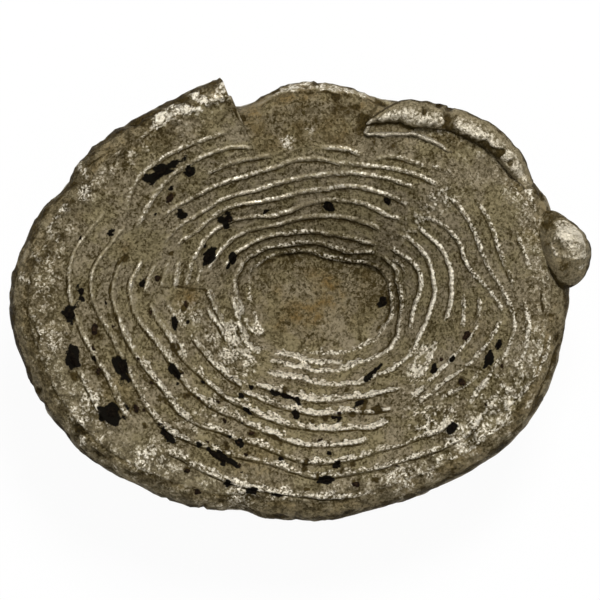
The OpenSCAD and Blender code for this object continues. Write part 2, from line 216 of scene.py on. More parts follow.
# Ridges as they lie in the hollow: strength, then marks of bearing and distance from the floor's middle
RIDGES = (
    (1.0, (337, 6.8), (348, 7.25), (356, 7.3), (368, 7.3), (375, 7.25), (380, 7.2), (386, 7.05),
     (392, 6.8), (397, 6.4), (402, 6.05), (409, 5.4), (418, 4.9), (428, 4.6), (438, 4.6), (448, 4.8),
     (455, 5.1), (464, 5.3), (471, 5.5), (478, 5.7), (487, 6.1), (496, 6.45), (502, 6.8), (511, 6.85)),
    (0.6, (253, 4.85), (261, 4.9), (276, 5), (288, 5.15), (304, 5.55), (317, 6.1), (329, 6.65),
     (340, 6.85)),
    (0.5, (150, 7.4), (158, 7.1), (165, 6.85), (178, 6.6)),
    (1.0, (336, 8.4), (350, 8.1), (372, 8.2), (375, 7.9), (382, 8.3), (396, 7.8)),
    (1.0, (345, 9.4), (352, 9.3), (360, 9.5), (372, 10.3), (380, 10.2), (392, 9.2), (396, 9)),
    (0.6, (372, 8.4), (376, 8.9), (380, 9.1), (386, 8.9), (390, 8.4)),
    (1.0, (340, 10.3), (360, 11.1), (365, 11.4), (380, 11.4), (387, 11.2), (397, 10.8)),
    (1.0, (353, 12.5), (358, 12.8), (372, 13.2), (380, 13.2), (397, 12.1)),
    (0.6, (351, 14.2), (364, 14.1)),
    (1.0, (357, 18), (364, 16.7), (368, 15.7), (375, 14.8), (382, 14.9), (388, 14.7), (398, 13.4)),
    (0.9, (360, 18.4), (370, 17), (375, 16.6), (393, 16.5), (398, 16.4)),
    (0.8, (365, 19), (373, 18.2), (388, 18.3), (392, 18.2)),
    (0.7, (370, 20.7), (373, 20.4), (379, 20.2)),
    (1.0, (42, 7.4), (52, 6.3), (62, 5.7), (70, 5.6), (90, 5.9), (118, 6.4), (135, 7.4), (150, 8.3),
     (163, 8.4)),
    (1.0, (45, 8.1), (52, 7.5), (67, 7), (82, 6.8), (98, 7.1), (112, 7.3), (128, 8.2), (150, 9.4),
     (158, 9.7)),
    (0.9, (50, 9.3), (70, 8.8), (90, 8.4), (112, 8.4), (120, 8.6), (142, 10.3), (162, 11)),
    (1.0, (46, 11.4), (52, 10.8), (68, 10.5), (90, 9.8), (105, 9.3), (112, 9.3), (118, 9.5),
     (138, 11.7), (152, 12.6), (160, 12.7)),
    (1.0, (48, 12.8), (66, 12.1), (85, 11.1), (98, 10.8), (110, 10.8), (120, 11.3), (136, 12.9),
     (148, 13.5), (157, 14.7)),
    (1.0, (50, 14.5), (70, 13.2), (90, 12.3), (105, 12.1), (118, 12.4), (140, 14.1), (146, 14.7),
     (152, 15.5), (158, 15.9)),
    (1.0, (46, 16.1), (67, 14.4), (70, 14), (82, 13.7), (98, 14), (110, 13.8), (120, 14.1),
     (140, 15.8), (150, 17.1)),
    (0.9, (53, 16.7), (62, 16), (66, 15.5), (68, 14.8)),
    (1.0, (74, 14.8), (77, 15.1), (88, 15)),
    (0.9, (108, 14.9), (130, 16.5)),
    (0.9, (113, 16.2), (117, 17), (137, 18.6), (150, 18.9), (157, 18.8)),
    (0.9, (118, 18.6), (123, 19), (137, 20.5), (143, 21), (147, 21.1), (151, 20.8), (156, 20.2)),
    (0.6, (43, 18), (50, 17.3)),
    (0.6, (164, 14.9), (174, 15.1)),
    (0.7, (167, 16.1), (176, 16.7)),
    (1.0, (167, 17.4), (171, 17.9), (175, 18.2), (183, 17.7), (195, 15.8), (203, 15.2), (220, 14.6),
     (235, 13.6), (245, 13.4), (263, 13.7), (270, 13.7), (290, 14.1)),
    (1.0, (167, 19.3), (177, 19.9), (195, 18.4), (203, 17.5), (210, 17.1), (219, 17.1), (232, 15.6),
     (247, 14.8), (255, 14.9), (265, 15.4), (293, 15.4), (305, 16.1), (312, 16.9), (318, 17.2)),
    (1.0, (159, 20), (163, 20.5), (168, 21.4), (172, 21.9), (178, 21.8), (190, 20), (196, 19.5),
     (203, 19.2), (219, 19.2), (228, 18), (241, 16.7), (247, 16.3), (255, 16.1), (270, 16.8),
     (280, 16.7), (297, 17.1), (316, 18.8)),
    (0.9, (157, 22.2), (162, 22.9), (167, 23.8), (172, 24.1), (178, 23.9), (199, 21.4), (205, 21.3),
     (211, 21.5)),
    (0.9, (225, 20.4), (229, 19.8), (250, 18.9), (265, 18.5), (287, 19.2)),
    (0.7, (193, 24.1), (200, 23.6), (211, 23.3)),
    (1.0, (181, 16.1), (190, 15), (203, 14), (212, 13.3), (226, 12.7), (235, 12.3), (255, 12.1),
     (265, 12.1), (287, 12.6), (293, 13.2), (300, 13.3)),
    (1.0, (230, 11.2), (238, 10.8), (258, 10.6), (266, 10.8), (285, 10.8), (304, 12.3)),
    (1.0, (233, 10), (240, 9.6), (250, 9.3), (270, 9.6), (288, 9.6), (308, 10.8), (313, 11.3)),
    (1.0, (234, 8.4), (256, 7.6), (265, 7.7), (285, 8.3), (292, 8.4), (297, 8.8), (311, 9.1),
     (317, 9.6), (332, 10.3), (340, 10.3)),
    (0.9, (231, 7.4), (238, 6.9), (255, 6.5), (265, 6.7), (275, 6.7), (292, 7), (308, 7.2),
     (328, 8.4), (336, 8.4)),
    (0.7, (230, 6.5), (237, 6), (243, 5.8), (265, 5.8), (285, 6.1), (293, 6.3)),
    (1.0, (163, 8.4), (180, 7.7), (190, 7.3), (197, 7.2), (210, 6.7)),
    (1.0, (176, 8.2), (193, 7.9), (205, 8), (220, 7.7)),
    (0.9, (188, 6.3), (200, 6.4), (208, 6.5)),
    (1.0, (173, 10.7), (180, 10.2), (187, 9.7), (197, 9.2)),
    (0.9, (183, 10.7), (193, 9.8), (203, 9.4)),
    (0.9, (203, 9), (212, 8.8), (222, 8.3)),
    (0.8, (180, 14.6), (189, 13.2)),
    (0.9, (163, 14), (173, 13.9)),
    (0.8, (162, 12.9), (172, 12.9)),
    (0.6, (163, 11.8), (171, 11.9)),
    (0.8, (195, 12.6), (203, 12), (215, 11.4), (228, 10.8)),
    (0.8, (316, 13), (332, 13.4), (350, 15.4), (357, 15.7), (362, 15.6)),
    (0.9, (316, 13.6), (329, 14.4), (348, 17), (355, 17.7)),
    (0.7, (323, 15.1), (333, 16.6), (337, 17)),
    (0.9, (328, 17.6), (334, 17.7), (339, 18), (344, 18.6), (350, 19.1), (356, 19), (366, 17.6)),
    (0.7, (320, 11.6), (328, 12.2), (342, 12)),
    (0.6, (316, 19.2), (323, 19.3), (329, 19)),
    (0.8, (329, 20.4), (340, 22), (346, 22.5), (352, 22.7)),
    (0.8, (344, 20.2), (350, 20.5), (355, 20.4), (360, 19.7)),
    (1.1, (114.6, 21.6), (117, 22.3), (119, 23.4), (121.5, 23.8)),
    (1.2, (121, 21.5), (123, 22.3), (125, 23), (128, 23.4), (130, 24.1)),
    (0.9, (127, 22.9), (133.5, 23.3), (138, 23.2)),
    (0.9, (69, 20.7), (75, 20.7), (81, 20.7), (87, 20.8), (93, 20.9), (98, 20.9), (102.5, 20.6),
     (107, 20.2)),
)
# A ridge: height in the lee and on the lit side, widths of its slopes, its seam, its ends and its unevenness
ridge_h = 0.29
upper_ridge_h = 0.17
inner_w = 0.34
lit_outer_w = 0.24
steep_outer_w = 0.1
seam_w = 0.075
seam_d = 0.1
ridge_end = 3.0
ridge_wander = 0.08
ridge_fray = 0.03


def around(at, spread):
    """1 on the spokes at a bearing, fading out to both sides."""
    return hump(turn(bearing - at), spread)


def sides(marks):
    """Amounts that gather round some bearings: bearing, spread, amount."""
    return sum(amount * around(at, spread) for at, spread, amount in marks)


def fade(x, start, end):
    """0 up to the start, 1 from the end on, smooth between."""
    return rise((x - start) / (end - start))


# Ridges of the lower half and of the left side froze broader: bearing, spread, extra width
BROAD = ((262, 62, 0.3), (197, 20, 0.22))
slope_w = inner_w + sides(BROAD)
# Roughly the lamp's bearing. Across the hollow from it, outer sides look away from the light: the lee
lit_from = 68
lee = 0.5 - 0.5 * cos_of(bearing - lit_from)
near = fade(from_middle, 10.5, 8)
far = fade(from_middle, 12.5, 15.5)
outer_w = mix(lit_outer_w, steep_outer_w, lee)
# The bare stripe on a crest: its width inside and outside the crest, lit and in the lee; it reaches over the
# slope that faces the lamp as painted light
lit_bare_in = 0.2
lee_bare_in = 0.95 * slope_w
lit_bare_out = 0.18
lee_bare_out = 0.0
bare_and_lit_in = mix(lit_bare_in, lee_bare_in, lee)
bare_and_lit_out = mix(lit_bare_out, lee_bare_out, lee)
# How bright the crests are rubbed: all of them, more in the lee as painted light on slopes facing the lamp,
# at the right, below and at the left
plain_rub = 0.62
lee_painted_light = 0.2 * fade(lee, 0.35, 0.75)
right_rub = 0.4 * around(0, 42) * (1 - 0.6 * near) * (1 - 0.5 * far)
lower_rub = 0.32 * around(290, 50) * (1 - far)
RUBBED = ((325, 28, 0.25), (185, 35, 0.15))
rub_and_light = plain_rub + lee_painted_light + right_rub + lower_rub + sides(RUBBED)
rub_and_light = rub_and_light * (1 - 0.4 * near * (1 - lee)) * (1 - 0.28 * far)
rub_and_light = rub_and_light * (1 - 0.45 * around(8, 38) * fade(from_middle, 8.4, 7.6))
# Painted shade, with dirt, in the seams: at a ridge's inner foot on the lit side, at its outer foot in the
# lee, the foot that looks away from the lamp
inner_shade_and_dirt = fade(lee - 0.2 * near, 0.62, 0.32) * mix(0.75, 1.1, near)
inner_seam_w = mix(0.2, 0.28, near)
outer_shade_and_dirt = fade(lee, 0.42, 0.67) * mix(mix(0.75, 0.3, near), 0.7, far) * (1 + 0.4 * around(200, 42))
# Crests of the left and the upper side are frosted instead of bright: bearing, spread, amount
FROSTED = ((174, 26, 1), (95, 45, 0.9))
matt = sides(FROSTED) * fade(from_middle, 7, 9)
# Roughness of the skin, from fine to coarse
fray = cast_grain(skin, 0.32, 14)
lumps = cast_grain(skin, 2.4, 21)
pebbles = cast_grain(skin, 1.0, 22)
grains = cast_grain(skin, 0.5, 23)
open_side = on_top | on_roll
# The outermost ridges at the left are thin
thin = 0.6 * around(172, 28) * fade(from_middle, 18.2, 19.4)
bare_and_lit_in = bare_and_lit_in * (1 - thin)
rub_and_light = rub_and_light * (1 - 0.25 * thin) * (1 - 0.2 * around(213, 22))

welt = np.zeros((spokes, rings))
crest_wear_and_light = np.zeros((spokes, rings))
seam = np.zeros((spokes, rings))
terrace = np.zeros((spokes, rings))
# Degrees before a ridge's first mark that still count as its start, and room between two ridges' noise
lead = 10
apart = 3.0
for number, (strength, *marks) in enumerate(RIDGES):
    at = np.array([mark[0] for mark in marks], float)
    reach = np.array([mark[1] for mark in marks], float)
    along = (bearing[:, 0] - at[0] + lead) % 360 - lead + at[0]
    line = np.mean([np.interp(along + step, at, reach) for step in (-2, -1, 0, 1, 2)], axis=0)
    spots = place(bearing[:, 0], line, apart * number)
    line = line + ridge_wander * (cast_grain(spots, 1.6, 11) + 0.6 * cast_grain(spots, 0.6, 12))
    ends = rise((along - at[0]) / ridge_end + 0.5) * rise((at[-1] - along) / ridge_end + 0.5)
    uneven = 0.85 + 0.3 * cast_grain(spots, 1.3, 13) + 0.2 * cast_grain(spots, 0.5, 15)
    size = (strength * ends * uneven)[:, None] * open_side
    shown = np.clip(1.3 * size, 0, 1)
    gap = from_middle - line[:, None] + ridge_fray * fray

    # The welt climbs along its inner slope and drops at its outer side
    inner = np.clip(1 + gap / slope_w, 0, 1)
    welt = np.maximum(welt, np.where(gap < 0, inner, 1 - rise(gap / outer_w)) * size)

    # The crest is rubbed bare, with a ragged inner edge; the bare stripe also paints light on the slope that
    # faces the lamp
    ragged = bare_and_lit_in * (1 + 0.5 * grains + 0.4 * fray + 0.3 * pebbles)
    crest_bare_and_lit = rise((gap + ragged) / (0.3 * bare_and_lit_in)) * (1 - rise((gap - bare_and_lit_out) / 0.06))
    rubbed = np.clip(0.95 + 0.6 * cast_grain(spots, 2.2, 16), 0.45, 1.2)[:, None]
    crest_wear_and_light = np.maximum(crest_wear_and_light, crest_bare_and_lit * size * rubbed)

    # Seams at both feet, painted dark as shade and dirt, and a terrace outside the ridge, painted darker as
    # shade in the lee
    outer_seam = np.clip(1.4 * hump(gap - outer_w - 0.04, seam_w), 0, 1) * outer_shade_and_dirt
    foot = fade(gap, 0.08, 0.18) * hump(np.maximum(gap - 0.25, 0), 0.5)
    terrace = np.maximum(terrace, foot * shown)
    under = gap + slope_w
    inner_seam = np.maximum(hump(under, 0.1), 0.45 * hump(under + 0.1, inner_seam_w)) * inner_shade_and_dirt
    seam = np.maximum(seam, np.maximum(outer_seam, inner_seam) * shown)

# Thin cracks in the skin, and the outline of a flake at the right end: points of each by x and y
CRACKS = (
    ((23.1, 0.6), (23.1, 0), (23.3, -1.2), (23.6, -1.5), (24.5, -1.5), (24.8, -1.8), (24.7, -2.6),
     (24.2, -3.1)),
    ((-13.2, 1.2), (-11.6, 1.3), (-10.4, 1), (-9.1, 1)),
    ((-26.9, 0.3), (-25.9, -1.6), (-25, -3.4), (-25.2, -4.6)),
    ((-23.6, 6.4), (-24.6, 6.1), (-25.4, 6.6)),
    ((-2.6, 3.9), (-3.2, 3.2), (-3.4, 2.4)),
    ((-16.4, 14.9), (-17, 13.6), (-16.8, 12.6)),
    ((-20.6, 13.1), (-19.6, 13.6), (-18.2, 14.6)),
    ((24.9, -4.6), (24.4, -6), (24, -7.2), (23, -9.4)),
    ((-6.75, 20.6), (-6.35, 19.4), (-6.05, 18.3), (-5.7, 17), (-5.6, 15.9)),
)
crack_w = 0.12
crack_d = 0.12
crack_fray = 0.04


def from_line(points):
    """Distance of the skin's points, seen from above, to a line through some points."""
    nearest = np.full((spokes, rings), np.inf)
    for start, end in zip(points[:-1], points[1:]):
        run = np.subtract(end, start)
        off = skin[..., :2] - start
        along = np.clip(off @ run / (run @ run), 0, 1)
        nearest = np.minimum(nearest, np.linalg.norm(off - along[..., None] * run, axis=-1))
    return nearest


crack = sum(hump(from_line(points) + crack_fray * fray, crack_w) for points in CRACKS)
crack = np.clip(crack, 0, 1) * open_side

# Places where the skin froze as rough grains instead of ridges: bearing, spread, distance, spread
ROUGH = (
    (204, 24, 9, 3.2), (40, 5, 14, 5), (225, 5, 15, 5), (316, 9, 16, 4), (336, 12, 19.6, 2),
    (322, 8, 20.5, 1.6),
)
rough = sum(around(at, wide) * hump(from_middle - reach, deep) for at, wide, reach, deep in ROUGH) * on_top

# The plain band inside the rim, the smooth spout beside the tear, and pits in the rough skin
to_rim = np.clip((from_middle - floor_r(bearing)) / (crest_r(bearing) - floor_r(bearing)), 0, 1)
band = fade(to_rim, 0.78, 0.98) * on_top
spout = (fade(turn(bearing), lap_to - 2, lap_to + 2) * fade(turn(bearing), tear_at, tear_at - 2)
         * (turn(bearing) > 0) * fade(from_middle, 14.6, 15.8))
crust = band * (1 - spout)
pits = fade(cast_grain(skin, 1.15, 24), 0.42, 0.62)


def spots_on_skin(spots):
    """Soft round places on the casting, each at x and y with a spread and an amount."""
    return sum(amount * hump(np.hypot(skin[..., 0] - x, skin[..., 1] - y), spread)
               for x, y, spread, amount in spots)


# Lumps of bright crust where the tab tore, along the left rim and beside the drop: x, y, spread, amount
CRUST = (
    (-7.1, 20.9, 0.4, 1), (-7.5, 20.3, 0.45, 1), (-7.6, 19.6, 0.45, 1), (-7.3, 19, 0.4, 0.8),
    (-10.6, 20, 0.45, 0.8), (-9.9, 19.8, 0.45, 1), (-9.4, 19.3, 0.4, 1), (-8.8, 18.9, 0.4, 1),
    (-8.2, 19, 0.4, 0.8), (-13.9, 16.6, 0.5, 0.7), (-13.5, 17.1, 0.6, 0.9), (-13.1, 17.8, 0.6, 1),
    (-12.5, 18.3, 0.6, 1), (-11.7, 18.5, 0.55, 1), (-10.9, 18.2, 0.55, 0.9), (-10, 18.2, 0.5, 0.8),
    (-21.2, 12.9, 0.5, 0.6), (-20.8, 12.2, 0.45, 0.6), (-20.9, 11, 0.5, 0.7), (-20.4, 10.6, 0.5, 0.7),
    (-20.7, 10, 0.5, 0.6), (-22.7, 9.1, 0.4, 0.9), (-22.3, 8.6, 0.4, 0.7), (-23.3, 7.9, 0.4, 0.6),
    (-24, 7, 0.4, 0.7), (-23.2, 5.8, 0.45, 0.5), (-24.3, 4.8, 0.5, 0.5), (-25, 4, 0.45, 0.5),
    (-26.3, 3.6, 0.5, 0.5), (-27, 2.3, 0.4, 0.9), (-26.1, 1.5, 0.5, 0.5), (-25.5, 4.3, 0.5, 0.4),
    (-21, -13.6, 0.45, 0.9), (21.2, 11.6, 0.45, 0.8), (21.9, 10.7, 0.45, 0.7), (22.1, 9.8, 0.4, 0.6),
    (22.6, 8.9, 0.4, 0.5), (22.8, 7.6, 0.4, 0.4),
)
torn_crust = np.clip(spots_on_skin(CRUST) * (1 + 0.7 * grains + 0.4 * fray), 0, 1) * open_side


def rugged(coarse, middle, fine):
    """Height of rough skin, with a share for each size of grain."""
    return coarse * lumps + middle * pebbles + fine * grains


# How far the roll and the wall stay inside the plain shape, so that no lump passes the outline
inset = 0.26
# Height of the torn crust's lumps, and depths of the pits in the crust, the roll and the wall
lump_h = 0.28
crust_pit = 0.2
roll_pit = 0.2
wall_pit = 0.35
ridge_lift = mix(upper_ridge_h, ridge_h, lee) * np.where(on_roll, 0.35, 1)
lift = ridge_lift * welt - seam_d * seam * (1 - welt)
lift += on_top * (rugged(0.05, 0.03, 0.015) + 0.03 * grains * crest_wear_and_light)
lift += rough * rugged(0, 0.13, 0.104)
lift += crust * (rugged(0.08, 0.1, 0.09) - crust_pit * pits)
lift -= crack_d * crack
lift += lump_h * torn_crust * np.where(on_roll, 0.6, 1)
knobbly = 1 - 0.65 * around(320, 60)
lift -= on_roll * (inset - knobbly * (rugged(0.12, 0.16, 0.12) - roll_pit * pits))
lift -= on_wall * (inset - rugged(0.12, 0.12, 0.05) + wall_pit * pits)


def facing(grid):
    """Outward directions of a closed ring of spokes."""
    round_way = np.roll(grid, -1, axis=0) - np.roll(grid, 1, axis=0)
    out_way = np.gradient(grid, axis=1)
    normal = np.cross(out_way, round_way)
    return normal / np.maximum(np.linalg.norm(normal, axis=-1, keepdims=True), 1e-9)


on_base = ring >= rings - base_rings
skin = skin + facing(skin) * np.where(on_base, 0, lift)[..., None]
skin[..., 2] = np.maximum(skin[..., 2], 0)

hub_top = [[floor_x, floor_y, floor_h - floor_dish]]
hub_base = [[floor_x, floor_y, 0]]
verts = np.concatenate([skin.reshape(-1, 3), hub_top, hub_base]) * MM
i, j = np.meshgrid(np.arange(spokes), np.arange(rings - 1), indexing="ij")
here = i * rings + j
there = (i + 1) % spokes * rings + j
quads = np.stack([here, here + 1, there + 1, there], axis=-1).reshape(-1, 4)
spoke = np.arange(spokes)
next_spoke = (spoke + 1) % spokes
top_hub = np.full(spokes, spokes * rings)
fan_top = np.stack([spoke * rings, next_spoke * rings, top_hub], axis=-1)
fan_base = np.stack([next_spoke * rings + rings - 1, spoke * rings + rings - 1, top_hub + 1], axis=-1)
faces = quads.tolist() + fan_top.tolist() + fan_base.tolist()


def add_piece(name, verts, faces):
    mesh = bpy.data.meshes.new(name)
    mesh.from_pydata(verts.tolist(), [], faces)
    mesh.polygons.foreach_set("use_smooth", [True] * len(mesh.polygons))
    mesh.update()
    piece = bpy.data.objects.new(name, mesh)
    bpy.context.scene.collection.objects.link(piece)
    return piece


def add_trait(piece, name, values):
    """A number for each corner that the metal's finish reads. A hub takes that of the ring beside it."""
    traits = piece.data.attributes
    trait = traits.get(name) or traits.new(name, "FLOAT", "POINT")
    hubs = len(piece.data.vertices) - values.size
    beside = values.ravel()[[0, -1]][:hubs]
    trait.data.foreach_set("value", np.append(values.ravel(), beside).astype(np.float32))


# Worn bright places: x, y, spread, amount
WORN = (
    (-24.5, 3.5, 2.6, 0.25), (-24, -3.8, 2.2, 0.25), (-14.5, -14.6, 2.4, 0.3), (-20.5, -9.5, 2.8, 0.25),
    (-6.3, -19.1, 1.6, 0.5), (9.6, -17.8, 1.6, 0.55), (13, -16.5, 1.5, 0.6), (16.5, -14.8, 1.4, 0.6),
    (19.9, -12, 1.4, 0.65), (22, -9.8, 1.2, 0.6), (23.2, -7, 1.2, 0.55), (23.4, -4.6, 1.2, 0.4),
    (22.6, 3.5, 1.4, 0.15), (20.8, 9.4, 1.4, 0.2), (22, 10, 1.1, 0.2), (22.6, 7.8, 0.9, 0.2),
    (-1.2, 15.3, 0.7, 1.3), (0.9, 15.9, 0.6, 1.2), (-0.6, 20.6, 0.45, 1.1), (0.7, 20.7, 0.45, 1.2),
    (2, 20.7, 0.45, 1.2), (3.3, 20.5, 0.45, 1.1), (4.6, 20.2, 0.4, 1), (6, 19.8, 0.4, 0.7),
    (-2, 20.3, 0.4, 0.8), (11.9, -5.1, 0.8, 1.2), (11.3, -6.7, 0.9, 1.2), (-11, -1.5, 2.2, 0.35),
    (4.2, -3.2, 1.6, 0.25), (2.8, -1.8, 1.6, 0.2),
)
# Places painted dark: dirt, and painted shadow beside the lap's nose, under its lip and at the spout's left
# edge: x, y, spread, amount
DIRT_AND_SHADOW_SPOTS = (
    (6.4, 17.4, 0.9, 0.6), (6.1, 16.2, 0.8, 0.7), (6.8, 15, 0.8, 0.6), (8.6, 14.8, 0.8, 0.5),
    (-6, 17.6, 1.0, 0.5), (4.4, 18.8, 1.4, 0.3), (-25.3, -5.8, 1.2, 0.4), (-13, 19, 1.2, 0.6),
    (-15.4, 17.2, 0.9, 0.4), (-10.8, 20.1, 0.8, 0.4), (22.4, 11.4, 0.8, 0.5), (-24.6, 0.2, 0.9, 0.4),
    (8.1, -0.2, 0.4, 1.0), (7.6, -0.5, 0.3, 0.7), (3.7, 1.3, 0.16, 0.9), (6.2, 2.4, 0.3, 0.4),
    (8, 1.1, 0.2, 0.6), (-0.9, 4.3, 0.3, 0.8), (-2.7, 3, 0.3, 0.4), (-3.6, -0.9, 0.5, 0.4),
    (0.4, -3.2, 0.6, 0.3),
)
# Places painted darker than the rest, or paler where the amount is below 0: tarnish, and painted shade along
# the floor's upper and right edge: x, y, spread, amount
TARNISH_AND_SHADE_SPOTS = (
    (-0.5, 3.8, 1.5, 0.9), (3.2, 3.6, 1.4, 0.8), (6.4, 2.6, 1.6, 0.9), (7.6, 0.4, 1.4, 0.8),
    (6.8, -1.6, 1.2, 0.3), (-3.2, 1.8, 1.3, 0.5), (-24, 0, 5, 0.35), (-21, -9, 5, 0.35),
    (-18, 12, 5, 0.25), (-1, 18, 4, 0.22), (-12, -15, 4, 0.15), (2, 18, 4, 0.18), (3, -12, 7, -0.25),
)
# Orange-brown stains in the hollow: x, y, spread, amount
STAINED = (
    (-10.8, 0.2, 1.1, 1.0), (-16.8, 5.1, 0.5, 1.0), (-18, -9, 2, 0.5), (-4, -15.6, 2.2, 0.5),
    (17, -3, 1.4, 0.5), (2.7, 1.6, 0.9, 1), (0.8, 2.3, 0.8, 0.9), (3.1, 0.3, 1.2, 1.2),
    (1.5, -1.1, 1.1, 1.2), (-0.4, -1.2, 0.9, 1), (1, -2.4, 0.5, 0.8), (-1.9, -2.4, 0.7, 0.8),
    (-2.1, 1, 0.6, 0.6), (6.3, 2.5, 0.4, 1.2),
)

# Small soft smudges of soot, scattered over the left and lower sides of the hollow
smudges = 100
smudge_rng = np.random.default_rng(5)
smudge_at = smudge_rng.uniform(128, 300, smudges)
smudge_reach = smudge_rng.uniform(0.4, 0.92, smudges) * whole_r(smudge_at)
smudge_x = floor_x + smudge_reach * cos_of(smudge_at)
smudge_y = floor_y + smudge_reach * sin_of(smudge_at)
smudge_size = smudge_rng.uniform(0.22, 0.5, smudges)
smudge_dark = smudge_rng.uniform(0.3, 0.9, smudges)
soot = spots_on_skin(zip(smudge_x, smudge_y, smudge_size, smudge_dark)) * on_top
soot = fade(soot + 0.3 * fray * rise(soot / 0.3), 0.2, 0.8)

# Wear: how far the silver is rubbed bare, on crests, on the frosted band of the rim and on the lumps; on the
# crests it also holds painted light on the slopes that face the lamp
on_side = fade(from_middle, floor_r(bearing), floor_r(bearing) + 0.6) * on_top * (1 - spout)
roll_start = floor_rings + hollow_rings
roll_share = (ring - roll_start) / roll_rings
frosty = around(218, 40) * (1 - torn_crust)
band_frost = 0.17 + 0.06 * frosty - 0.05 * around(182, 25)
roll_frost = 0.16 * frosty * on_roll * fade(roll_share, 0.85, 0.45)
polish = spots_on_skin(WORN) * open_side * (1 - pits)
wear = 0.04 * on_side + rub_and_light * crest_wear_and_light * (1 - 0.22 * matt) + band_frost * crust + roll_frost
wear = wear + 0.4 * rough * (0.6 + grains) + 0.75 * polish * (0.7 + 0.6 * pebbles)
wear = wear + ~open_side * (0.12 + 0.06 * lumps + 0.08 * grains) * (1 - pits)
wear = np.clip(np.maximum(wear * (1 + 0.35 * lumps), 0.95 * torn_crust), 0, 1.2)

# Tarnish and painted shade: darker skin above 0, paler below
in_floor = (from_middle < floor_r(bearing)) * on_top
tarnish = spots_on_skin(TARNISH_AND_SHADE_SPOTS) * open_side + 0.28 * lumps + 0.28 * pebbles - 0.5 * polish
tarnish = tarnish + 0.12 * (grains + 0.5 * pebbles) * in_floor - 0.4 * ~open_side
# Painted shade: the terraces outside the ridges are darker in the lee
tarnish = tarnish + 0.3 * terrace * fade(lee, 0.45, 0.75) - 1.2 * matt * crest_wear_and_light - 0.2 * crust

# Crust: how knobbly the skin is
crusty = 0.8 * crust * (1 - 0.35 * around(188, 40)) + torn_crust + 0.5 * rough + 0.7 * on_roll * (1 - spout)
crusty = np.clip(crusty, 0, 1) * (1 - 0.8 * around(8, 32)) * open_side

# Grime and painted shade: dirt with painted shade in the seams, dirt in cracks and pits, the spout darker,
# the roll darker from some share of its depth as dark tarnish and as painted shade where it curves away, and
# darker high on the wall.
# The roll darkens from further down, or more, at some bearings: bearing, spread, amount
DARK_LATER = ((120, 10, -0.12), (212, 30, 0.16), (245, 40, 0.08))
DARKER = ((186, 28, 0.18), (305, 40, 0.2), (150, 38, 0.2))
dark_wall_rings = 9
dark_from = 0.32 + sides(DARK_LATER) + 0.33 * spout
pale_edge = 0.6 * fade(roll_share, 0.62, 0.77) * around(330, 50)
roll_dark = on_roll * fade(roll_share + 0.2 * pebbles, dark_from, dark_from + 0.2) * (1 - pale_edge)
roll_dark = roll_dark * (1 - 0.45 * fade(roll_share, 0.65, 1))
roll_dark = roll_dark * (0.55 + 0.2 * lumps + 0.22 * grains + sides(DARKER))
wall_top = 1 - rise((ring - roll_start - roll_rings) / dark_wall_rings)
wall_dark = on_wall * np.clip(0.02 + 0.12 * lumps + 0.32 * wall_top, 0, 1)
pit_dark = (0.6 * on_roll + 0.3 * on_wall) * pits
grime = seam + roll_dark + wall_dark + 0.9 * crack + pit_dark + 0.25 * spout * on_top
grime = grime + (spots_on_skin(DIRT_AND_SHADOW_SPOTS) + soot) * (1 + 0.4 * grains)
grime = np.clip(grime, 0, 1) * (1 - 0.9 * torn_crust)

# Stain: brown on the spout, in the floor, round the roll and the wall, and in spots
brown_r = 1.02 * floor_r(bearing)
floor_brown = fade(from_middle, brown_r, brown_r - 1.5) * on_top
stain = 0.45 * spout * open_side * (1 + 0.8 * pebbles) + floor_brown * (0.15 + 0.3 * lumps)
stain = stain + 0.5 * on_roll * (1 - 0.4 * frosty) + 0.12 * on_wall + 0.3 * crust * (lumps > 0)
stain = np.clip(stain + spots_on_skin(STAINED), 0, 1)

# Satin: smooth metal outside, where it lay in the mould, and on the frosted crests
satin = 0.9 * ~open_side + 0.4 * on_roll * roll_share + 0.7 * np.clip(matt * crest_wear_and_light, 0, 1)
satin = satin + 0.22 * frosty * crust

ingot = add_piece("ingot", verts, faces)
add_trait(ingot, "wear", wear)
add_trait(ingot, "grime", grime)
add_trait(ingot, "stain", stain)
add_trait(ingot, "crust", crusty)
add_trait(ingot, "tarnish", tarnish)
add_trait(ingot, "satin", satin)


def add_node(tree, kind, inputs, **settings):
    """A new node of a tree. Each input is a plain value or another node's output."""
    node = tree.nodes.new(kind)
    for name, value in settings.items():
        setattr(node, name, value)
    for socket, value in inputs.items():
        if isinstance(value, bpy.types.NodeSocket):
            tree.links.new(value, node.inputs[socket])
        else:
            node.inputs[socket].default_value = value
    return node


def noise_node(tree, spot, scale, rough, detail=4):
    values = {"Vector": spot, "Scale": scale, "Detail": detail, "Roughness": rough}
    return add_node(tree, "ShaderNodeTexNoise", values).outputs


def cell_node(tree, spot, scale):
    return add_node(tree, "ShaderNodeTexVoronoi", {"Vector": spot, "Scale": scale}).outputs


def trait_node(tree, name):
    return add_node(tree, "ShaderNodeAttribute", {}, attribute_name=name).outputs["Fac"]


def range_node(tree, source, low, high, to_low=0.0, to_high=1.0):
    """A value's way from low to high, smoothed and laid between two other values."""
    values = {"Value": source, "From Min": low, "From Max": high, "To Min": to_low, "To Max": to_high}
    spread = add_node(tree, "ShaderNodeMapRange", values, interpolation_type="SMOOTHSTEP")
    return spread.outputs["Result"]


def math_node(tree, operation, first, *others, clamp=False):
    """Joins two or more values, one after the other."""
    value = first
    for other in others:
        node = add_node(tree, "ShaderNodeMath", {0: value, 1: other}, operation=operation, use_clamp=clamp)
        value = node.outputs["Value"]
    return value


def tint_node(tree, share, first, second):
    """Mixes two colours, each a plain colour or another tint."""
    colours = [(*colour, 1) if isinstance(colour, tuple) else colour for colour in (first, second)]
    values = {"Factor": share, 6: colours[0], 7: colours[1]}
    return add_node(tree, "ShaderNodeMix", values, data_type="RGBA").outputs[2]


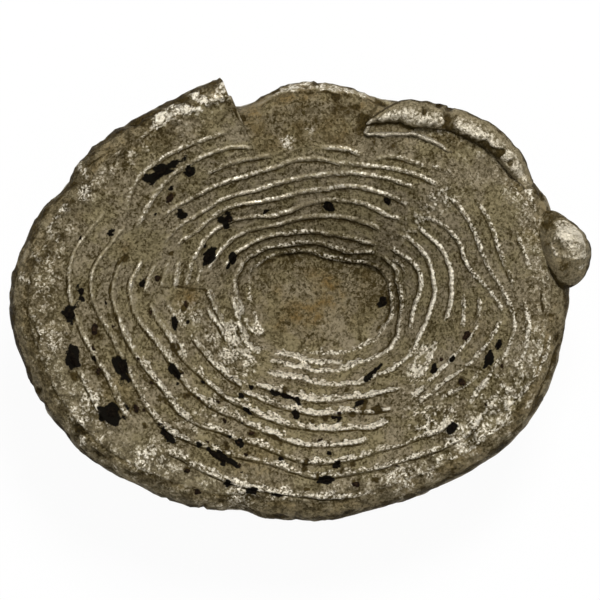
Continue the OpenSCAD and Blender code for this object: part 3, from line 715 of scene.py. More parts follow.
def frayed_node(tree, trait, fringe):
    """A trait with a noise added where it is neither nothing nor full."""
    rest = math_node(tree, "SUBTRACT", 1.0, trait)
    noise = math_node(tree, "MULTIPLY", trait, rest, fringe)
    return math_node(tree, "ADD", trait, noise)


def bump_node(tree, height, strength, depth, under=None):
    values = {"Height": height, "Strength": strength, "Distance": depth * MM}
    if under:
        values["Normal"] = under
    return add_node(tree, "ShaderNodeBump", values).outputs["Normal"]


dull_tarnish = (0.05, 0.036, 0.012)
pale_tarnish = (0.28, 0.234, 0.152)
olive_tarnish = (0.255, 0.213, 0.118)
dim_silver = (0.35, 0.3, 0.205)
worn_silver = (0.95, 0.88, 0.73)
seam_dirt_and_shade = (0.016, 0.01, 0.002)
umber_stain = (0.055, 0.038, 0.012)
brown_stain = (0.185, 0.122, 0.045)
soot_black = (0.004, 0.003, 0.0015)
# Grain of the finish, as lumps per metre
cloud_scale = 300
patch_scale = 1000
grit_scale = 3000
crystal_scale = 5200
knob_scale = 950
pock_scale = 1700
# How far noise pushes the cells of knobs and pocks about, so that they lose their straight sides
cell_warp = 0.6 * MM
# Heights of the grain, in millimetres
crystal_h = 0.06
grit_h = 0.2
knob_h = 0.5


def tarnished_silver(name, dim, bright, grain):
    """Old cast silver: crystal grain, mottled tarnish, worn crests, dark seams, brown stain, pores."""
    metal = bpy.data.materials.new(name)
    metal.use_nodes = True
    tree = metal.node_tree
    shader = tree.nodes["Principled BSDF"]
    spot = tree.nodes.new("ShaderNodeTexCoord").outputs["Object"]
    clouds = noise_node(tree, spot, cloud_scale, 0.65)["Fac"]
    patch_noise = noise_node(tree, spot, patch_scale, 0.65)
    patches = patch_noise["Fac"]
    grit = noise_node(tree, spot, grit_scale, 0.75)["Fac"]
    crystals = cell_node(tree, spot, crystal_scale)
    pushes = {0: patch_noise["Color"], 1: (cell_warp, cell_warp, cell_warp), 2: spot}
    bent = add_node(tree, "ShaderNodeVectorMath", pushes, operation="MULTIPLY_ADD").outputs["Vector"]
    knobs = cell_node(tree, bent, knob_scale)["Distance"]
    pocks = cell_node(tree, bent, pock_scale)
    wear, grime, crust, satin = (trait_node(tree, trait) for trait in ("wear", "grime", "crust", "satin"))
    # Painted light and shade on the crust: each knob lighter in its middle and darker at its edge
    knob = math_node(tree, "MULTIPLY", crust, range_node(tree, knobs, 0.2, 0.7, 0.2, -0.25))

    # The tarnished ground: each crystal has its own shade, between a dull tone and grey or olive
    speck = math_node(
        tree, "ADD", range_node(tree, crystals["Color"], 0.2, 0.8, -0.1, 0.55),
        range_node(tree, grit, 0.4, 0.6, -0.05, 0.4), range_node(tree, patches, 0.35, 0.62, 0.0, 0.3))
    # The tarnish trait, with its painted shade, darkens the ground
    tarnish = math_node(tree, "MULTIPLY", trait_node(tree, "tarnish"), 0.5)
    speck = math_node(tree, "SUBTRACT", speck, tarnish)
    speck = math_node(tree, "ADD", speck, knob)
    hue = tint_node(tree, range_node(tree, clouds, 0.42, 0.58), pale_tarnish, olive_tarnish)
    ground = tint_node(tree, speck, dull_tarnish, hue)
    blotchy = range_node(tree, patches, 0.35, 0.6, 0.3, 1.0)
    stain = math_node(tree, "MULTIPLY", trait_node(tree, "stain"), blotchy)
    rust = tint_node(tree, range_node(tree, clouds, 0.34, 0.54), olive_tarnish, brown_stain)
    browned = tint_node(tree, stain, ground, tint_node(tree, speck, umber_stain, rust))
    sheen = tint_node(tree, range_node(tree, clouds, 0.4, 0.6), olive_tarnish, dim)
    browned = tint_node(tree, satin, browned, sheen)

    # Worn places, with the crests' painted light, shine crystal by crystal, and on the crust knob by knob
    # with the knobs' painted light
    shine = math_node(
        tree, "ADD", range_node(tree, crystals["Color"], 0.15, 0.85, -0.3 * grain, 0.3 * grain),
        range_node(tree, grit, 0.35, 0.65, -0.28 * grain, 0.28 * grain))
    shine = math_node(
        tree, "MULTIPLY", shine, range_node(tree, wear, 0.0, 0.5, 0.25, 1.0),
        range_node(tree, satin, 0, 1, 1.0, 0.25))
    worn_and_lit = range_node(tree, math_node(tree, "ADD", wear, shine, knob), 0.2, 0.95)
    glint = math_node(
        tree, "ADD", range_node(tree, crystals["Color"], 0.25, 0.75, 0.0, 0.6),
        range_node(tree, grit, 0.4, 0.6, 0.0, 0.4))
    polished_and_lit = tint_node(tree, worn_and_lit, browned, tint_node(tree, glint, dim, bright))

    # Dirt and painted shade in the seams, ragged where it thins out, painted shade between the knobs of the
    # crust, and dirt in pores
    fringe = math_node(
        tree, "ADD", range_node(tree, patches, 0.35, 0.65, -1.1, 1.1),
        range_node(tree, grit, 0.35, 0.65, -1.0, 1.0))
    dirt_and_shade = range_node(tree, frayed_node(tree, grime, fringe), 0.2, 0.8)
    # Painted shade between the knobs of the crust
    between = math_node(tree, "MULTIPLY", crust, range_node(tree, knobs, 0.56, 0.74, 0.0, 0.65))
    pock = math_node(
        tree, "MULTIPLY", range_node(tree, pocks["Distance"], 0.1, 0.24, 0.75, 0.0),
        range_node(tree, pocks["Color"], 0.45, 0.5))
    blotch = range_node(tree, patches, 0.34, 0.42, 0.3, 0.0)
    filth_and_shade = math_node(tree, "MAXIMUM", between, pock, blotch, dirt_and_shade)
    soiled_and_shaded = tint_node(tree, filth_and_shade, polished_and_lit, tint_node(tree, speck, seam_dirt_and_shade, umber_stain))
    charred = range_node(tree, frayed_node(tree, trait_node(tree, "soot"), fringe), 0.35, 0.65)
    sooty = tint_node(tree, charred, soiled_and_shaded, soot_black)

    # Bare and satin metal is smoother than tarnish, and dirt and painted shade aren't metallic
    rough = math_node(
        tree, "SUBTRACT", range_node(tree, worn_and_lit, 0, 1, 0.65, 0.45),
        range_node(tree, satin, 0, 1, 0.0, 0.22))
    metallic = math_node(
        tree, "ADD", range_node(tree, worn_and_lit, 0, 1, 0.3, 0.7),
        range_node(tree, satin, 0, 1, 0.0, 0.55), clamp=True)
    metallic = math_node(tree, "MULTIPLY", metallic, range_node(tree, filth_and_shade, 0, 1, 1.0, 0.2))
    crystal_bump = bump_node(tree, crystals["Distance"], range_node(tree, satin, 0, 1, 0.5, 0.1), crystal_h)
    grit_bump = bump_node(tree, grit, range_node(tree, satin, 0, 1, 0.9, 0.25), grit_h, crystal_bump)
    knob_bump = bump_node(tree, knob, 0.7, knob_h, grit_bump)
    finish = {"Base Color": sooty, "Roughness": rough, "Metallic": metallic, "Normal": knob_bump}
    for socket, value in finish.items():
        tree.links.new(value, shader.inputs[socket])
    shader.inputs["Specular IOR Level"].default_value = 0.05
    return metal


ingot.data.materials.append(tarnished_silver("tarnished cast silver", dim_silver, worn_silver, 1.0))
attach(ingot, "root")
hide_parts("ingot_body")

# The lap: a tongue of skin that froze first and was folded over the rim by the next wave of metal.
# Thin cast silver, worn brighter than the rest because it stands proud.
# It lies fused on the rim from its root at the right to a blunt nose beside the spout.
lap_spokes = 170
lap_cuts = 60
lap_dim = (0.42, 0.37, 0.27)
lap_bright = (0.76, 0.69, 0.55)
lap_grain = 0.6
# Lines of the folded skin: bearing and distance of the fold's inner edge and of its thin lip
FOLD = ((27, 22.9), (33, 22.3), (38.5, 22), (44, 21.6), (49.5, 21), (54, 20.5), (57, 19.9), (61, 19.2),
        (66, 19), (71.5, 18.2), (75, 17.7))
LIP = ((27, 22.4), (36, 21), (45, 19.7), (50, 19.3), (57.5, 18.9), (61, 18.7), (63, 18.2), (68, 17.5),
       (73, 17), (75, 17.1))
# Pits where the skin tore open: bearing, distance, size
LAP_PITS = (
    (55.7, 21.7, 0.65), (53.5, 21.3, 0.45), (51.5, 20.8, 0.4), (48, 21.3, 0.45), (46, 21.5, 0.4),
    (43.9, 21.9, 0.45), (41.5, 22.2, 0.4), (39.6, 22.5, 0.45), (36.1, 22.8, 0.4), (61, 20.8, 0.3),
    (58.5, 21.6, 0.25),
)
# Room outside and inside the folded skin, and how deep the piece is set in the metal
lap_rim = 0.3
lap_skirt = 0.5
lap_sink = 0.45
# Heights of the fold, its lip, the groove between them and the nose, half the lip's width, depth of a pit
fold_h = 1.35
lip_h = 0.5
mouth_h = 0.14
nose_h = 0.6
lip_w = 0.22
lap_pit = 0.36
# Bearings over which parts begin: the lip, the groove, its dirt, and the crumbled stretch at both its ends
LIP_STARTS = (47, 53)
MOUTH_STARTS = (58, 63)
DIRT_STARTS = (40, 50)
CRUMBLED_FROM = (33, 37)
CRUMBLED_TO = (59, 55)
# Degrees over which the fold rises from its root
root_run = 9
# The nose: bearing where it starts to narrow, how bluntly, and the distance of its tip
nose_from = 63.5
nose_power = 2.6
nose_r = 17.9


def seat_h(a, r):
    """Height of the plain metal at a distance from the floor's middle, over the crest and down the roll."""
    share = np.clip((r - crest_r(a)) / crest_inset, 0, 1)
    over = crest_h(a) - roll_drop * (1 - np.sqrt(1 - share * share))
    return np.where(r < crest_r(a), side_h(a, r), over)


def off_rim(a, r):
    """Direction in which a piece on the rim stands off the metal."""
    roll = np.degrees(np.arcsin(np.clip((r - crest_r(a)) / crest_inset, 0, 1))) / 90
    lean = 90 * rise(roll)
    return np.stack([cos_of(a) * sin_of(lean), sin_of(a) * sin_of(lean), cos_of(lean)], axis=-1)


def half_round(x, middle, half):
    return np.sqrt(np.clip(1 - ((x - middle) / half) ** 2, 0, 1))


def add_pad(name, under, over):
    """A closed piece between a lower and an upper grid of points."""
    rows, cuts = under.shape[:2]
    count = rows * cuts
    i, j = np.meshgrid(np.arange(rows - 1), np.arange(cuts - 1), indexing="ij")
    cell = (i * cuts + j).ravel()
    bottom = np.stack([cell, cell + cuts, cell + cuts + 1, cell + 1], axis=-1)
    top = bottom[:, ::-1] + count
    edge = np.concatenate([
        np.arange(cuts - 1), np.arange(rows - 1) * cuts + cuts - 1,
        np.arange(count - 1, count - cuts, -1), np.arange(rows - 1, 0, -1) * cuts])
    after = np.roll(edge, -1)
    sides = np.stack([edge, after, after + count, edge + count], axis=-1)
    points = np.concatenate([under.reshape(-1, 3), over.reshape(-1, 3)]) * MM
    return add_piece(name, points, top.tolist() + bottom.tolist() + sides.tolist())


def add_top_trait(pad, name, values):
    """A trait of a pad's upper side. The side that sits on the metal has none."""
    upper = np.zeros(len(pad.data.vertices) // 2) + np.ravel(values)
    add_trait(pad, name, np.concatenate([0 * upper, upper]))


a = np.linspace(lap_from, lap_to, lap_spokes)[:, None]
fold_r = np.interp(a, *np.transpose(FOLD))
lip_r = np.interp(a, *np.transpose(LIP))
blunt = 1 - (np.maximum(a - nose_from, 0) / (lap_to - nose_from)) ** nose_power
out_r = mix(nose_r, whole_r(a) + tear_reach(a) - lap_rim, blunt)
lap_r = mix(np.minimum(lip_r, fold_r) - lap_skirt, out_r, np.linspace(0, 1, lap_cuts)[None, :])
seat = place(a, lap_r, seat_h(a, lap_r))
stand = off_rim(a, lap_r)
lap_fray = cast_grain(seat, 0.5, 33)
edged = lap_r + 0.08 * lap_fray + 0.06 * cast_grain(seat, 1.1, 36)

# Across the fold, "over" runs from 0 at its inner edge to 1 at its outer one
over = (edged - fold_r) / np.maximum(out_r - fold_r, 0.05)
fold = fold_h * half_round(over, 0.5, 0.5) * fade(a, lap_from, lap_from + root_run) * (0.4 + 0.6 * blunt)
lip = lip_h * half_round(edged, lip_r, lip_w) * fade(a, *LIP_STARTS)
in_mouth = fade(edged, lip_r, lip_r + 0.15) * fade(edged, fold_r + 0.3, fold_r + 0.1)
mouth = mouth_h * in_mouth * fade(a, *MOUTH_STARTS)
nose = nose_h * half_round(a, lap_to - 0.9, 0.85) * fade(edged, lip_r - 0.2, lip_r + 0.1)
lap_lift = np.maximum(np.maximum(fold, lip), np.maximum(mouth, nose)) * (blunt > 0.02)
metal = rise(lap_lift / 0.1)
torn = sum(hump(np.hypot((a - at) * np.radians(reach), lap_r - reach), size)
           for at, reach, size in LAP_PITS)
crumbled = hump(over - 0.16, 0.2) * fade(a, *CRUMBLED_TO) * fade(a, *CRUMBLED_FROM)
torn = torn + 0.9 * crumbled * (0.5 + cast_grain(seat, 0.75, 37) + 0.4 * cast_grain(seat, 0.4, 38))
torn = fade(torn + 0.45 * lap_fray, 0.4, 0.9)
lap_lift = lap_lift * (1 + 0.14 * cast_grain(seat, 1.8, 31))
lap_lift += metal * (0.1 * cast_grain(seat, 0.8, 32) + 0.06 * lap_fray) * (fold > 0.2)
lap_lift -= 0.35 * (1 - metal) + lap_pit * torn * (fold > 0.3)
lap = add_pad("lap", seat - stand * lap_sink, seat + stand * lap_lift[..., None])

# Worn along the fold, the lip and the nose, dirty in the pits and on the outer side, and painted dark as
# shadow in the groove under the fold's edge and in the mouth beneath it
lap_wear = 0.74 * hump(over - 0.37, 0.25) * (fold > 0.1) + 0.7 * (lip > 0.25) + 0.5 * (nose > 0.35)
lap_wear = lap_wear * (1 + 0.5 * cast_grain(seat, 1.6, 34) + 0.3 * lap_fray) * (1 - torn)
groove_shade = hump(edged - fold_r, 0.14) * fade(a, *DIRT_STARTS) + 0.35 * (mouth > 0.05) * (fold < 0.05)
lap_grime_and_shade = groove_shade + (0.72 + 0.25 * lap_fray) * torn + 0.85 * fade(over, 0.68, 0.9) + 0.6 * (1 - metal)
add_top_trait(lap, "wear", np.clip(lap_wear, 0, 1))
add_top_trait(lap, "grime", np.clip(lap_grime_and_shade, 0, 1))
add_top_trait(lap, "stain", 0.3)
add_top_trait(lap, "satin", 0.2)
skin_silver = tarnished_silver("worn silver skin", lap_dim, lap_bright, lap_grain)
lap.data.materials.append(skin_silver)
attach(lap, "root")
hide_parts("rim_lap")

# The drop: a bead of metal that ran over the right end of the rim and froze on its outside.
# The same worn silver skin as the lap, with a crease where it meets the rim, painted dark as shade and dirt.
# It is fused to the roll of the rim and overhangs it a little.
drop_at = 12.6
drop_w = 8.0
drop_t = 3.1
drop_top = 17.1
drop_cuts = 84
# How far its seat reaches down the roll, as a share, and how deep its edge and its skirt are sunk
seat_reach = 0.97
edge_sink = 0.1
skirt_sink = 0.3
# Its bare cap: middle, half sizes, lean and height
cap_x = 25.7
cap_y = 5.5
cap_long = 2.5
cap_broad = 1.5
cap_lean = -48.6
cap_h = 0.14
# Hollows torn in the cap: x, y, size, depth
DROP_PITS = (
    (25.1, 4.9, 0.5, 0.5), (24.5, 5.4, 0.5, 0.4), (25.1, 3.6, 0.55, 0.5), (26.2, 5.5, 0.25, 0.25),
)

# A round patch of the rim: x runs along it and y outwards, both from -1 to 1
u, v = np.meshgrid(np.linspace(-1, 1, drop_cuts), np.linspace(-1, 1, drop_cuts), indexing="ij")
x = u * np.sqrt(1 - v * v / 2)
y = v * np.sqrt(1 - u * u / 2)
half_span = np.degrees(drop_w / 2 / (whole_r(drop_at) + tear_reach(drop_at)))
a = drop_at + half_span * x
drop_r = crest_r(a) + crest_inset * sin_of(45 * (y + 1) * seat_reach)
seat = place(a, drop_r, seat_h(a, drop_r))
stand = off_rim(a, drop_r)
drop_fray = cast_grain(seat, 0.6, 44)
torn_skin = cast_grain(seat, 1.1, 42)
from_top = np.hypot(x, y)
taper = 1 - 0.45 * fade(x, 0.1, 1) - 0.1 * rise(-y)
merge = (0.35 + 0.65 * fade(x, -0.6, 0)) * fade(y, 0.35, -0.25)
dome = drop_t * np.clip(1 - from_top**2, 0, 1) ** (0.5 + 0.7 * merge) * taper
dome = dome * (1 + 0.07 * cast_grain(seat, 2.2, 41)) - edge_sink
bead = seat + stand * np.maximum(dome, -skirt_sink)[..., None]
hollow = sum(depth * hump(np.hypot(bead[..., 0] - px, bead[..., 1] - py) + 0.25 * drop_fray * size, size)
             for px, py, size, depth in DROP_PITS)
cap_u = (bead[..., 0] - cap_x) * cos_of(cap_lean) + (bead[..., 1] - cap_y) * sin_of(cap_lean)
cap_v = (bead[..., 1] - cap_y) * cos_of(cap_lean) - (bead[..., 0] - cap_x) * sin_of(cap_lean)
from_cap = np.hypot(cap_u / cap_long, cap_v / cap_broad) + 0.25 * drop_fray + 0.22 * torn_skin
cap = fade(from_cap, 1.05, 0.85)
inside = fade(from_top, 0.9, 0.7)
torn_h = 0.2 * torn_skin + 0.16 * drop_fray - hollow
dome += inside * (fade(from_cap, 1.5, 1) * torn_h + cap_h * cap)
bead = seat + stand * np.maximum(dome, -skirt_sink)[..., None]
bead[..., 2] = np.minimum(bead[..., 2], drop_top)
drop = add_pad("drop", seat - stand * lap_sink, bead)

# Bare on the cap, painted shade with dirt in the crease, and dirty on the outer flank and in the hollows
drop_wear = cap * (0.85 + 0.4 * cast_grain(seat, 0.9, 43)) * (1 - 1.6 * hollow)
crease = fade(from_top, 0.86, 0.96) * fade(x, -0.1, -0.5)
flank = np.maximum(0.72 * fade(y, 0.1, 0.4), 0.42 * fade(x, 0.35, 0.65)) * (1 - cap)
drop_grime_and_shade = crease + flank + hollow * (1 + drop_fray) + 0.3 * (1 - cap) * (drop_fray > 0.1)
add_top_trait(drop, "wear", np.clip(drop_wear, 0, 1.1))
add_top_trait(drop, "grime", np.clip(drop_grime_and_shade, 0, 1))
add_top_trait(drop, "stain", 0.4)
add_top_trait(drop, "satin", 0.2)
add_top_trait(drop, "crust", 0.35 * cap)
drop.data.materials.append(skin_silver)
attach(drop, "root")
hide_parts("rim_drop")

# The charcoal flecks: chips of charcoal and slag that stuck in the skin while it froze.
# Dull black, a quarter of a millimetre thick, lying along the grooves.
# Geometry nodes set a chip on each mark, break its outline and drape it over the metal.
charcoal_seed = 3.0
charcoal_dark = (0.0025, 0.0015, 0.001)
charcoal_pale = (0.011, 0.008, 0.004)
# Thickness of a chip, how far its outline is broken, and the grain of the breaks in lumps per metre
fleck_t = 0.25
fleck_fray = 1.2
fleck_fray_scale = 1900
# Share of a mark that its chip covers: soot fills the rest
charcoal_share = 0.55
# Height above the metal, in metres, from which a chip's points are dropped onto it
drape_from = 0.05
# Marks: bearing, share of the way to the outline, length along the groove, width, skew
CHARCOAL_MARKS = (
    (140.2, 0.76, 3.2, 1, -9), (134.3, 0.7, 1, 1, 0), (147, 0.59, 0.7, 1, 1), (137, 0.47, 1.2, 1, 2),
    (157.5, 0.42, 1.9, 1, -3), (153.4, 0.34, 1.4, 0.7, 2), (161.7, 0.74, 0.8, 0.7, 0),
    (177.1, 0.76, 1.4, 0.6, 1), (182.5, 0.8, 1.9, 1.6, -1), (192.9, 0.83, 2.8, 1, 1),
    (198.1, 0.69, 2.2, 1.4, 1), (207.8, 0.81, 2, 1.9, 0), (220.8, 0.75, 1.8, 0.8, -2),
    (236.8, 0.75, 4, 0.8, 2), (253, 0.44, 3, 0.6, 0), (258.9, 0.51, 1, 0.8, 1),
    (206.4, 0.55, 1.9, 0.6, 2), (239.9, 0.67, 0.8, 0.8, 0), (243.8, 0.86, 0.8, 0.6, 1),
    (251.2, 0.89, 0.8, 0.8, 0), (258.6, 0.88, 0.9, 0.7, -1), (309.5, 0.39, 1.5, 0.5, 2),
    (278.4, 0.53, 1, 0.6, 0), (272.9, 0.8, 1.9, 0.6, -1), (276.6, 0.75, 0.8, 0.5, 0),
    (346.6, 0.74, 1.2, 0.7, 1), (341.8, 0.72, 1.2, 0.6, -1), (330, 0.55, 1, 0.6, 0),
    (83.5, 0.44, 1, 0.7, 0), (55.5, 0.52, 0.7, 0.5, 0), (187.5, 0.47, 1.3, 0.5, 1),
    (173.8, 0.57, 0.8, 0.6, 0), (292.1, 0.5, 1.1, 0.5, 0), (317.2, 0.78, 0.9, 0.6, 1),
    (119.9, 0.42, 0.9, 0.6, 0),
)


def mark_turn(at, skew):
    """Direction of a chip's length: along the groove, turned by its skew."""
    return at + 90 + 2 * skew


def fleck_marks(name, marks, chip_share):
    """One point for each chip, with its sizes and turn as traits."""
    at, share, length, width, skew = np.transpose(marks)
    spots = place(at, share * (whole_r(at) + tear_reach(at)), 0) * MM
    points = add_piece(name, spots, [])
    add_trait(points, "long", chip_share * length * MM / 2)
    add_trait(points, "broad", chip_share * width * MM / 2)
    add_trait(points, "turn", np.radians(mark_turn(at, skew)))
    return points


def vector_node(tree, operation, first, second):
    node = add_node(tree, "ShaderNodeVectorMath", {0: first, 1: second}, operation=operation)
    return node.outputs["Vector"]


def fleck_tree():
    """Lays a chip on each mark, breaks its outline and drapes it over the metal."""
    tree = bpy.data.node_groups.new("draped flecks", "GeometryNodeTree")
    for name, kind in (("Geometry", "Geometry"), ("Metal", "Object"), ("Thickness", "Float"),
                       ("Raggedness", "Float"), ("Seed", "Float"), ("Finish", "Material")):
        tree.interface.new_socket(name, in_out="INPUT", socket_type="NodeSocket" + kind)
    tree.interface.new_socket("Geometry", in_out="OUTPUT", socket_type="NodeSocketGeometry")
    marks = tree.nodes.new("NodeGroupInput").outputs
    chip = add_node(tree, "GeometryNodeMeshIcoSphere", {"Radius": 1.0, "Subdivisions": 3})
    traits = {}
    for name in ("long", "broad", "turn"):
        trait = add_node(tree, "GeometryNodeInputNamedAttribute", {"Name": name}, data_type="FLOAT")
        traits[name] = trait.outputs["Attribute"]
    size = add_node(tree, "ShaderNodeCombineXYZ", {"X": traits["long"], "Y": traits["broad"], "Z": 1.0})
    way = add_node(tree, "ShaderNodeCombineXYZ", {"Z": traits["turn"]})
    laid = add_node(tree, "GeometryNodeInstanceOnPoints", {
        "Points": marks["Geometry"], "Instance": chip.outputs["Mesh"], "Rotation": way.outputs["Vector"],
        "Scale": size.outputs["Vector"]})
    real = add_node(tree, "GeometryNodeRealizeInstances", {"Geometry": laid.outputs["Instances"]})

    # Breaks the outline: a noise field pushes the chip's points about in plan
    in_plan = (1, 1, 0)
    spot = tree.nodes.new("GeometryNodeInputPosition").outputs["Position"]
    flat = vector_node(tree, "MULTIPLY", spot, in_plan)
    grain = {"Vector": flat, "Scale": fleck_fray_scale, "Detail": 5, "Roughness": 0.75}
    ragged = add_node(tree, "ShaderNodeTexNoise", grain, noise_dimensions="4D")
    tree.links.new(marks["Seed"], ragged.inputs["W"])
    centred = vector_node(tree, "SUBTRACT", ragged.outputs["Color"], (0.5, 0.5, 0.5))
    share = {0: centred, "Scale": marks["Raggedness"]}
    push = add_node(tree, "ShaderNodeVectorMath", share, operation="SCALE")
    level = vector_node(tree, "MULTIPLY", push.outputs["Vector"], in_plan)
    broken = add_node(tree, "GeometryNodeSetPosition", {
        "Geometry": real.outputs["Geometry"], "Offset": level})

    # Drapes the chip: each point drops onto the metal and keeps its height share as thickness
    metal = add_node(tree, "GeometryNodeObjectInfo", {"Object": marks["Metal"]})
    ray = add_node(tree, "GeometryNodeRaycast", {
        "Target Geometry": metal.outputs["Geometry"], "Ray Direction": (0, 0, -1), "Ray Length": 1.0,
        "Source Position": vector_node(tree, "ADD", flat, (0, 0, drape_from))})
    height = add_node(tree, "ShaderNodeSeparateXYZ", {"Vector": spot})
    thick = math_node(tree, "MULTIPLY", height.outputs["Z"], 0.5, marks["Thickness"])
    raised = add_node(tree, "ShaderNodeCombineXYZ", {"Z": thick})
    onto = vector_node(tree, "ADD", ray.outputs["Hit Position"], raised.outputs["Vector"])
    draped = add_node(tree, "GeometryNodeSetPosition", {
        "Geometry": broken.outputs["Geometry"], "Position": onto})
    finish = add_node(tree, "GeometryNodeSetMaterial", {
        "Geometry": draped.outputs["Geometry"], "Material": marks["Finish"]})
    add_node(tree, "NodeGroupOutput", {"Geometry": finish.outputs["Geometry"]})
    return tree


def add_flecks(name, marks, chip_share, seed, finish):
    piece = fleck_marks(name, marks, chip_share)
    modifier = piece.modifiers.new("flecks", "NODES")
    modifier.node_group = drape
    values = {"Metal": ingot, "Thickness": fleck_t * MM, "Raggedness": fleck_fray * MM, "Seed": seed,
              "Finish": finish}
    for item in drape.interface.items_tree:
        if item.in_out == "INPUT" and item.name in values:
            modifier[item.identifier] = values[item.name]
    bpy.context.view_layer.update()
    evaluated = piece.evaluated_get(bpy.context.evaluated_depsgraph_get())
    mesh = bpy.data.meshes.new_from_object(evaluated)
    piece.modifiers.remove(modifier)
    piece.data = mesh
    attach(piece, "root")
    return piece


crumb_scale = 3800
crumb_h = 0.1


def crumbly_residue(name, dark, pale):
    residue = bpy.data.materials.new(name)
    residue.use_nodes = True
    tree = residue.node_tree
    shader = tree.nodes["Principled BSDF"]
    spot = tree.nodes.new("ShaderNodeTexCoord").outputs["Object"]
    crumbs = noise_node(tree, spot, crumb_scale, 0.7)["Fac"]
    tint = tint_node(tree, range_node(tree, crumbs, 0.4, 0.75), dark, pale)
    tree.links.new(tint, shader.inputs["Base Color"])
    tree.links.new(bump_node(tree, crumbs, 0.8, crumb_h), shader.inputs["Normal"])
    shader.inputs["Roughness"].default_value = 0.85
    shader.inputs["Specular IOR Level"].default_value = 0.04
    return residue


def close_to(marks, halo_w):
    """How close the metal's skin lies to a chip: 1 under it, fading out round it."""
    halo = np.zeros((spokes, rings))
    for at, share, length, width, skew in marks:
        off = skin - place(at, share * (whole_r(at) + tear_reach(at)), 0)
        lean = mark_turn(at, skew)
        along = off[..., 0] * cos_of(lean) + off[..., 1] * sin_of(lean)
        across = off[..., 1] * cos_of(lean) - off[..., 0] * sin_of(lean)
        edge = np.hypot(along / (length / 2), across / (width / 2))
        halo = np.maximum(halo, rise((1 + halo_w / 2 + 0.8 * grains + 0.5 * pebbles - edge) / halo_w))
    return halo * on_top


# A black speck at the right edge of the hollow's floor
FLOOR_SPECK = ((0.9, 0.257, 1.0, 0.8, 0),)
# Crumbs broken off the chips, strewn over the left and lower sides
crumb_count = 40
black_crumbs = 18
crumb_rng = np.random.default_rng(17)
crumb_marks = np.stack([
    crumb_rng.triangular(125, 210, 345, crumb_count), crumb_rng.uniform(0.42, 0.9, crumb_count),
    crumb_rng.uniform(0.3, 0.75, crumb_count), crumb_rng.uniform(0.25, 0.5, crumb_count),
    crumb_rng.uniform(-20, 20, crumb_count)], axis=-1)

drape = fleck_tree()
black_marks = np.concatenate([CHARCOAL_MARKS, FLOOR_SPECK, crumb_marks[:black_crumbs]])
add_trait(ingot, "soot", close_to(black_marks, 0.7))
grime = np.maximum(grime, 0.7 * close_to(black_marks, 1.1))
charcoal_finish = crumbly_residue("charcoal and slag", charcoal_dark, charcoal_pale)
charcoal = add_flecks("charcoal", black_marks, charcoal_share, charcoal_seed, charcoal_finish)
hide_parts("charcoal_flecks")

# The rust flecks: red-brown chips of earthy residue in the same grooves.
# Dull iron-stained clay from the mould and the ground, as thin as the charcoal.
# The same tree of nodes drapes them.
rust_seed = 8.0
rust_dark = (0.008, 0.005, 0.003)
rust_pale = (0.036, 0.019, 0.009)
# Marks of the chips, as for the charcoal
RUST_MARKS = (
    (144.6, 0.66, 1.4, 0.8, 1), (210.2, 0.74, 1.1, 0.8, -1), (243.3, 0.62, 0.9, 0.7, 0),
    (186.6, 0.73, 1.8, 1, -2), (237.4, 0.92, 1.1, 0.7, 0), (281.9, 0.85, 1.1, 1, 1),
    (347.6, 0.61, 1.3, 1, 2), (171.2, 0.53, 1, 0.7, 0), (232.1, 0.85, 0.9, 0.7, 1),
    (197.2, 0.77, 1, 0.7, -1),
)
# Loose crumbs beside the chips, and the share of a mark that its chip covers
RUST_CRUMBS = ((331, 0.67, 1.1, 0.9, 0), (335.5, 0.55, 0.6, 0.5, 0), (341, 0.78, 0.5, 0.4, 0))
rust_share = 0.65
brown_marks = np.concatenate([RUST_MARKS, RUST_CRUMBS, crumb_marks[black_crumbs:]])
grime = np.maximum(grime, 0.75 * close_to(brown_marks, 1.4))
add_trait(ingot, "grime", grime)
rust_finish = crumbly_residue("red-brown earth", rust_dark, rust_pale)
rust = add_flecks("rust", brown_marks, rust_share, rust_seed, rust_finish)
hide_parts("rust_flecks")

# The floor under the ingot and the studio light round it: not part of the object.
# A white table with a broad soft lamp beyond the ingot's spout side and a pale surround.
# The camera looks straight down from far off, as the photograph does.
floor_half = 1.5
floor_z = -0.02 * MM
paper_white = 0.9
paper_rough = 0.9
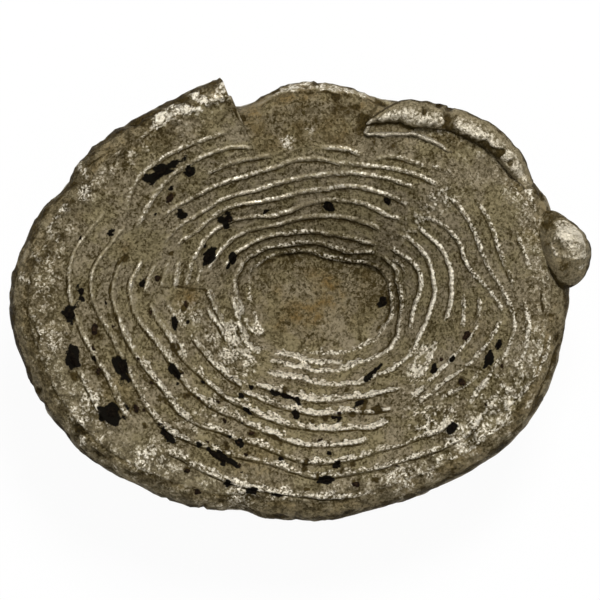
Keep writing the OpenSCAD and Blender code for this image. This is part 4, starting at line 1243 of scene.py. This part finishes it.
# Share of the table's own light in what the eye and the metal see of it: the rest keeps the shadow
white_share = 0.95
corners = [(floor_half * x, floor_half * y, floor_z) for x, y in ((-1, -1), (1, -1), (1, 1), (-1, 1))]
table = add_piece("table", np.array(corners), [(0, 1, 2, 3)])
paper = bpy.data.materials.new("white table")
paper.use_nodes = True
tree = paper.node_tree
matte = tree.nodes["Principled BSDF"]
matte.inputs["Base Color"].default_value = (paper_white, paper_white, paper_white, 1)
matte.inputs["Roughness"].default_value = paper_rough
glow = add_node(tree, "ShaderNodeEmission", {"Strength": 1.0})
paths = tree.nodes.new("ShaderNodeLightPath").outputs
rays = (paths["Is Camera Ray"], paths["Is Glossy Ray"], paths["Is Transmission Ray"])
shown_white = math_node(tree, "MULTIPLY", math_node(tree, "MAXIMUM", *rays), white_share)
blend = add_node(tree, "ShaderNodeMixShader", {
    "Fac": shown_white, 1: matte.outputs["BSDF"], 2: glow.outputs["Emission"]})
tree.links.new(blend.outputs["Shader"], tree.nodes["Material Output"].inputs["Surface"])
table.data.materials.append(paper)

sky_strength = 0.47
surround = bpy.data.worlds.new("studio")
surround.use_nodes = True
sky = surround.node_tree.nodes["Background"]
sky.inputs["Color"].default_value = (1, 1, 1, 1)
sky.inputs["Strength"].default_value = sky_strength
bpy.context.scene.world = surround

lamp_data = bpy.data.lights.new("window lamp", "AREA")
lamp_data.energy = 3.9
lamp_data.size = 0.2
lamp = bpy.data.objects.new("window lamp", lamp_data)
lamp.location = (0.1, 0.37, 0.56)
lamp.rotation_euler = (-lamp.location).to_track_quat("-Z", "Y").to_euler()
bpy.context.scene.collection.objects.link(lamp)

view_distance = 1.0
view_width = 0.0576
sensor = 36.0
rim_level = rim_h * MM
camera_data = bpy.data.cameras.new("camera")
camera_data.sensor_width = sensor
camera_data.lens = sensor * view_distance / view_width
camera = bpy.data.objects.new("camera", camera_data)
camera.location = (0, 0, rim_level + view_distance)
bpy.context.scene.collection.objects.link(camera)
bpy.context.scene.camera = camera
bpy.context.scene.view_settings.view_transform = "Standard"
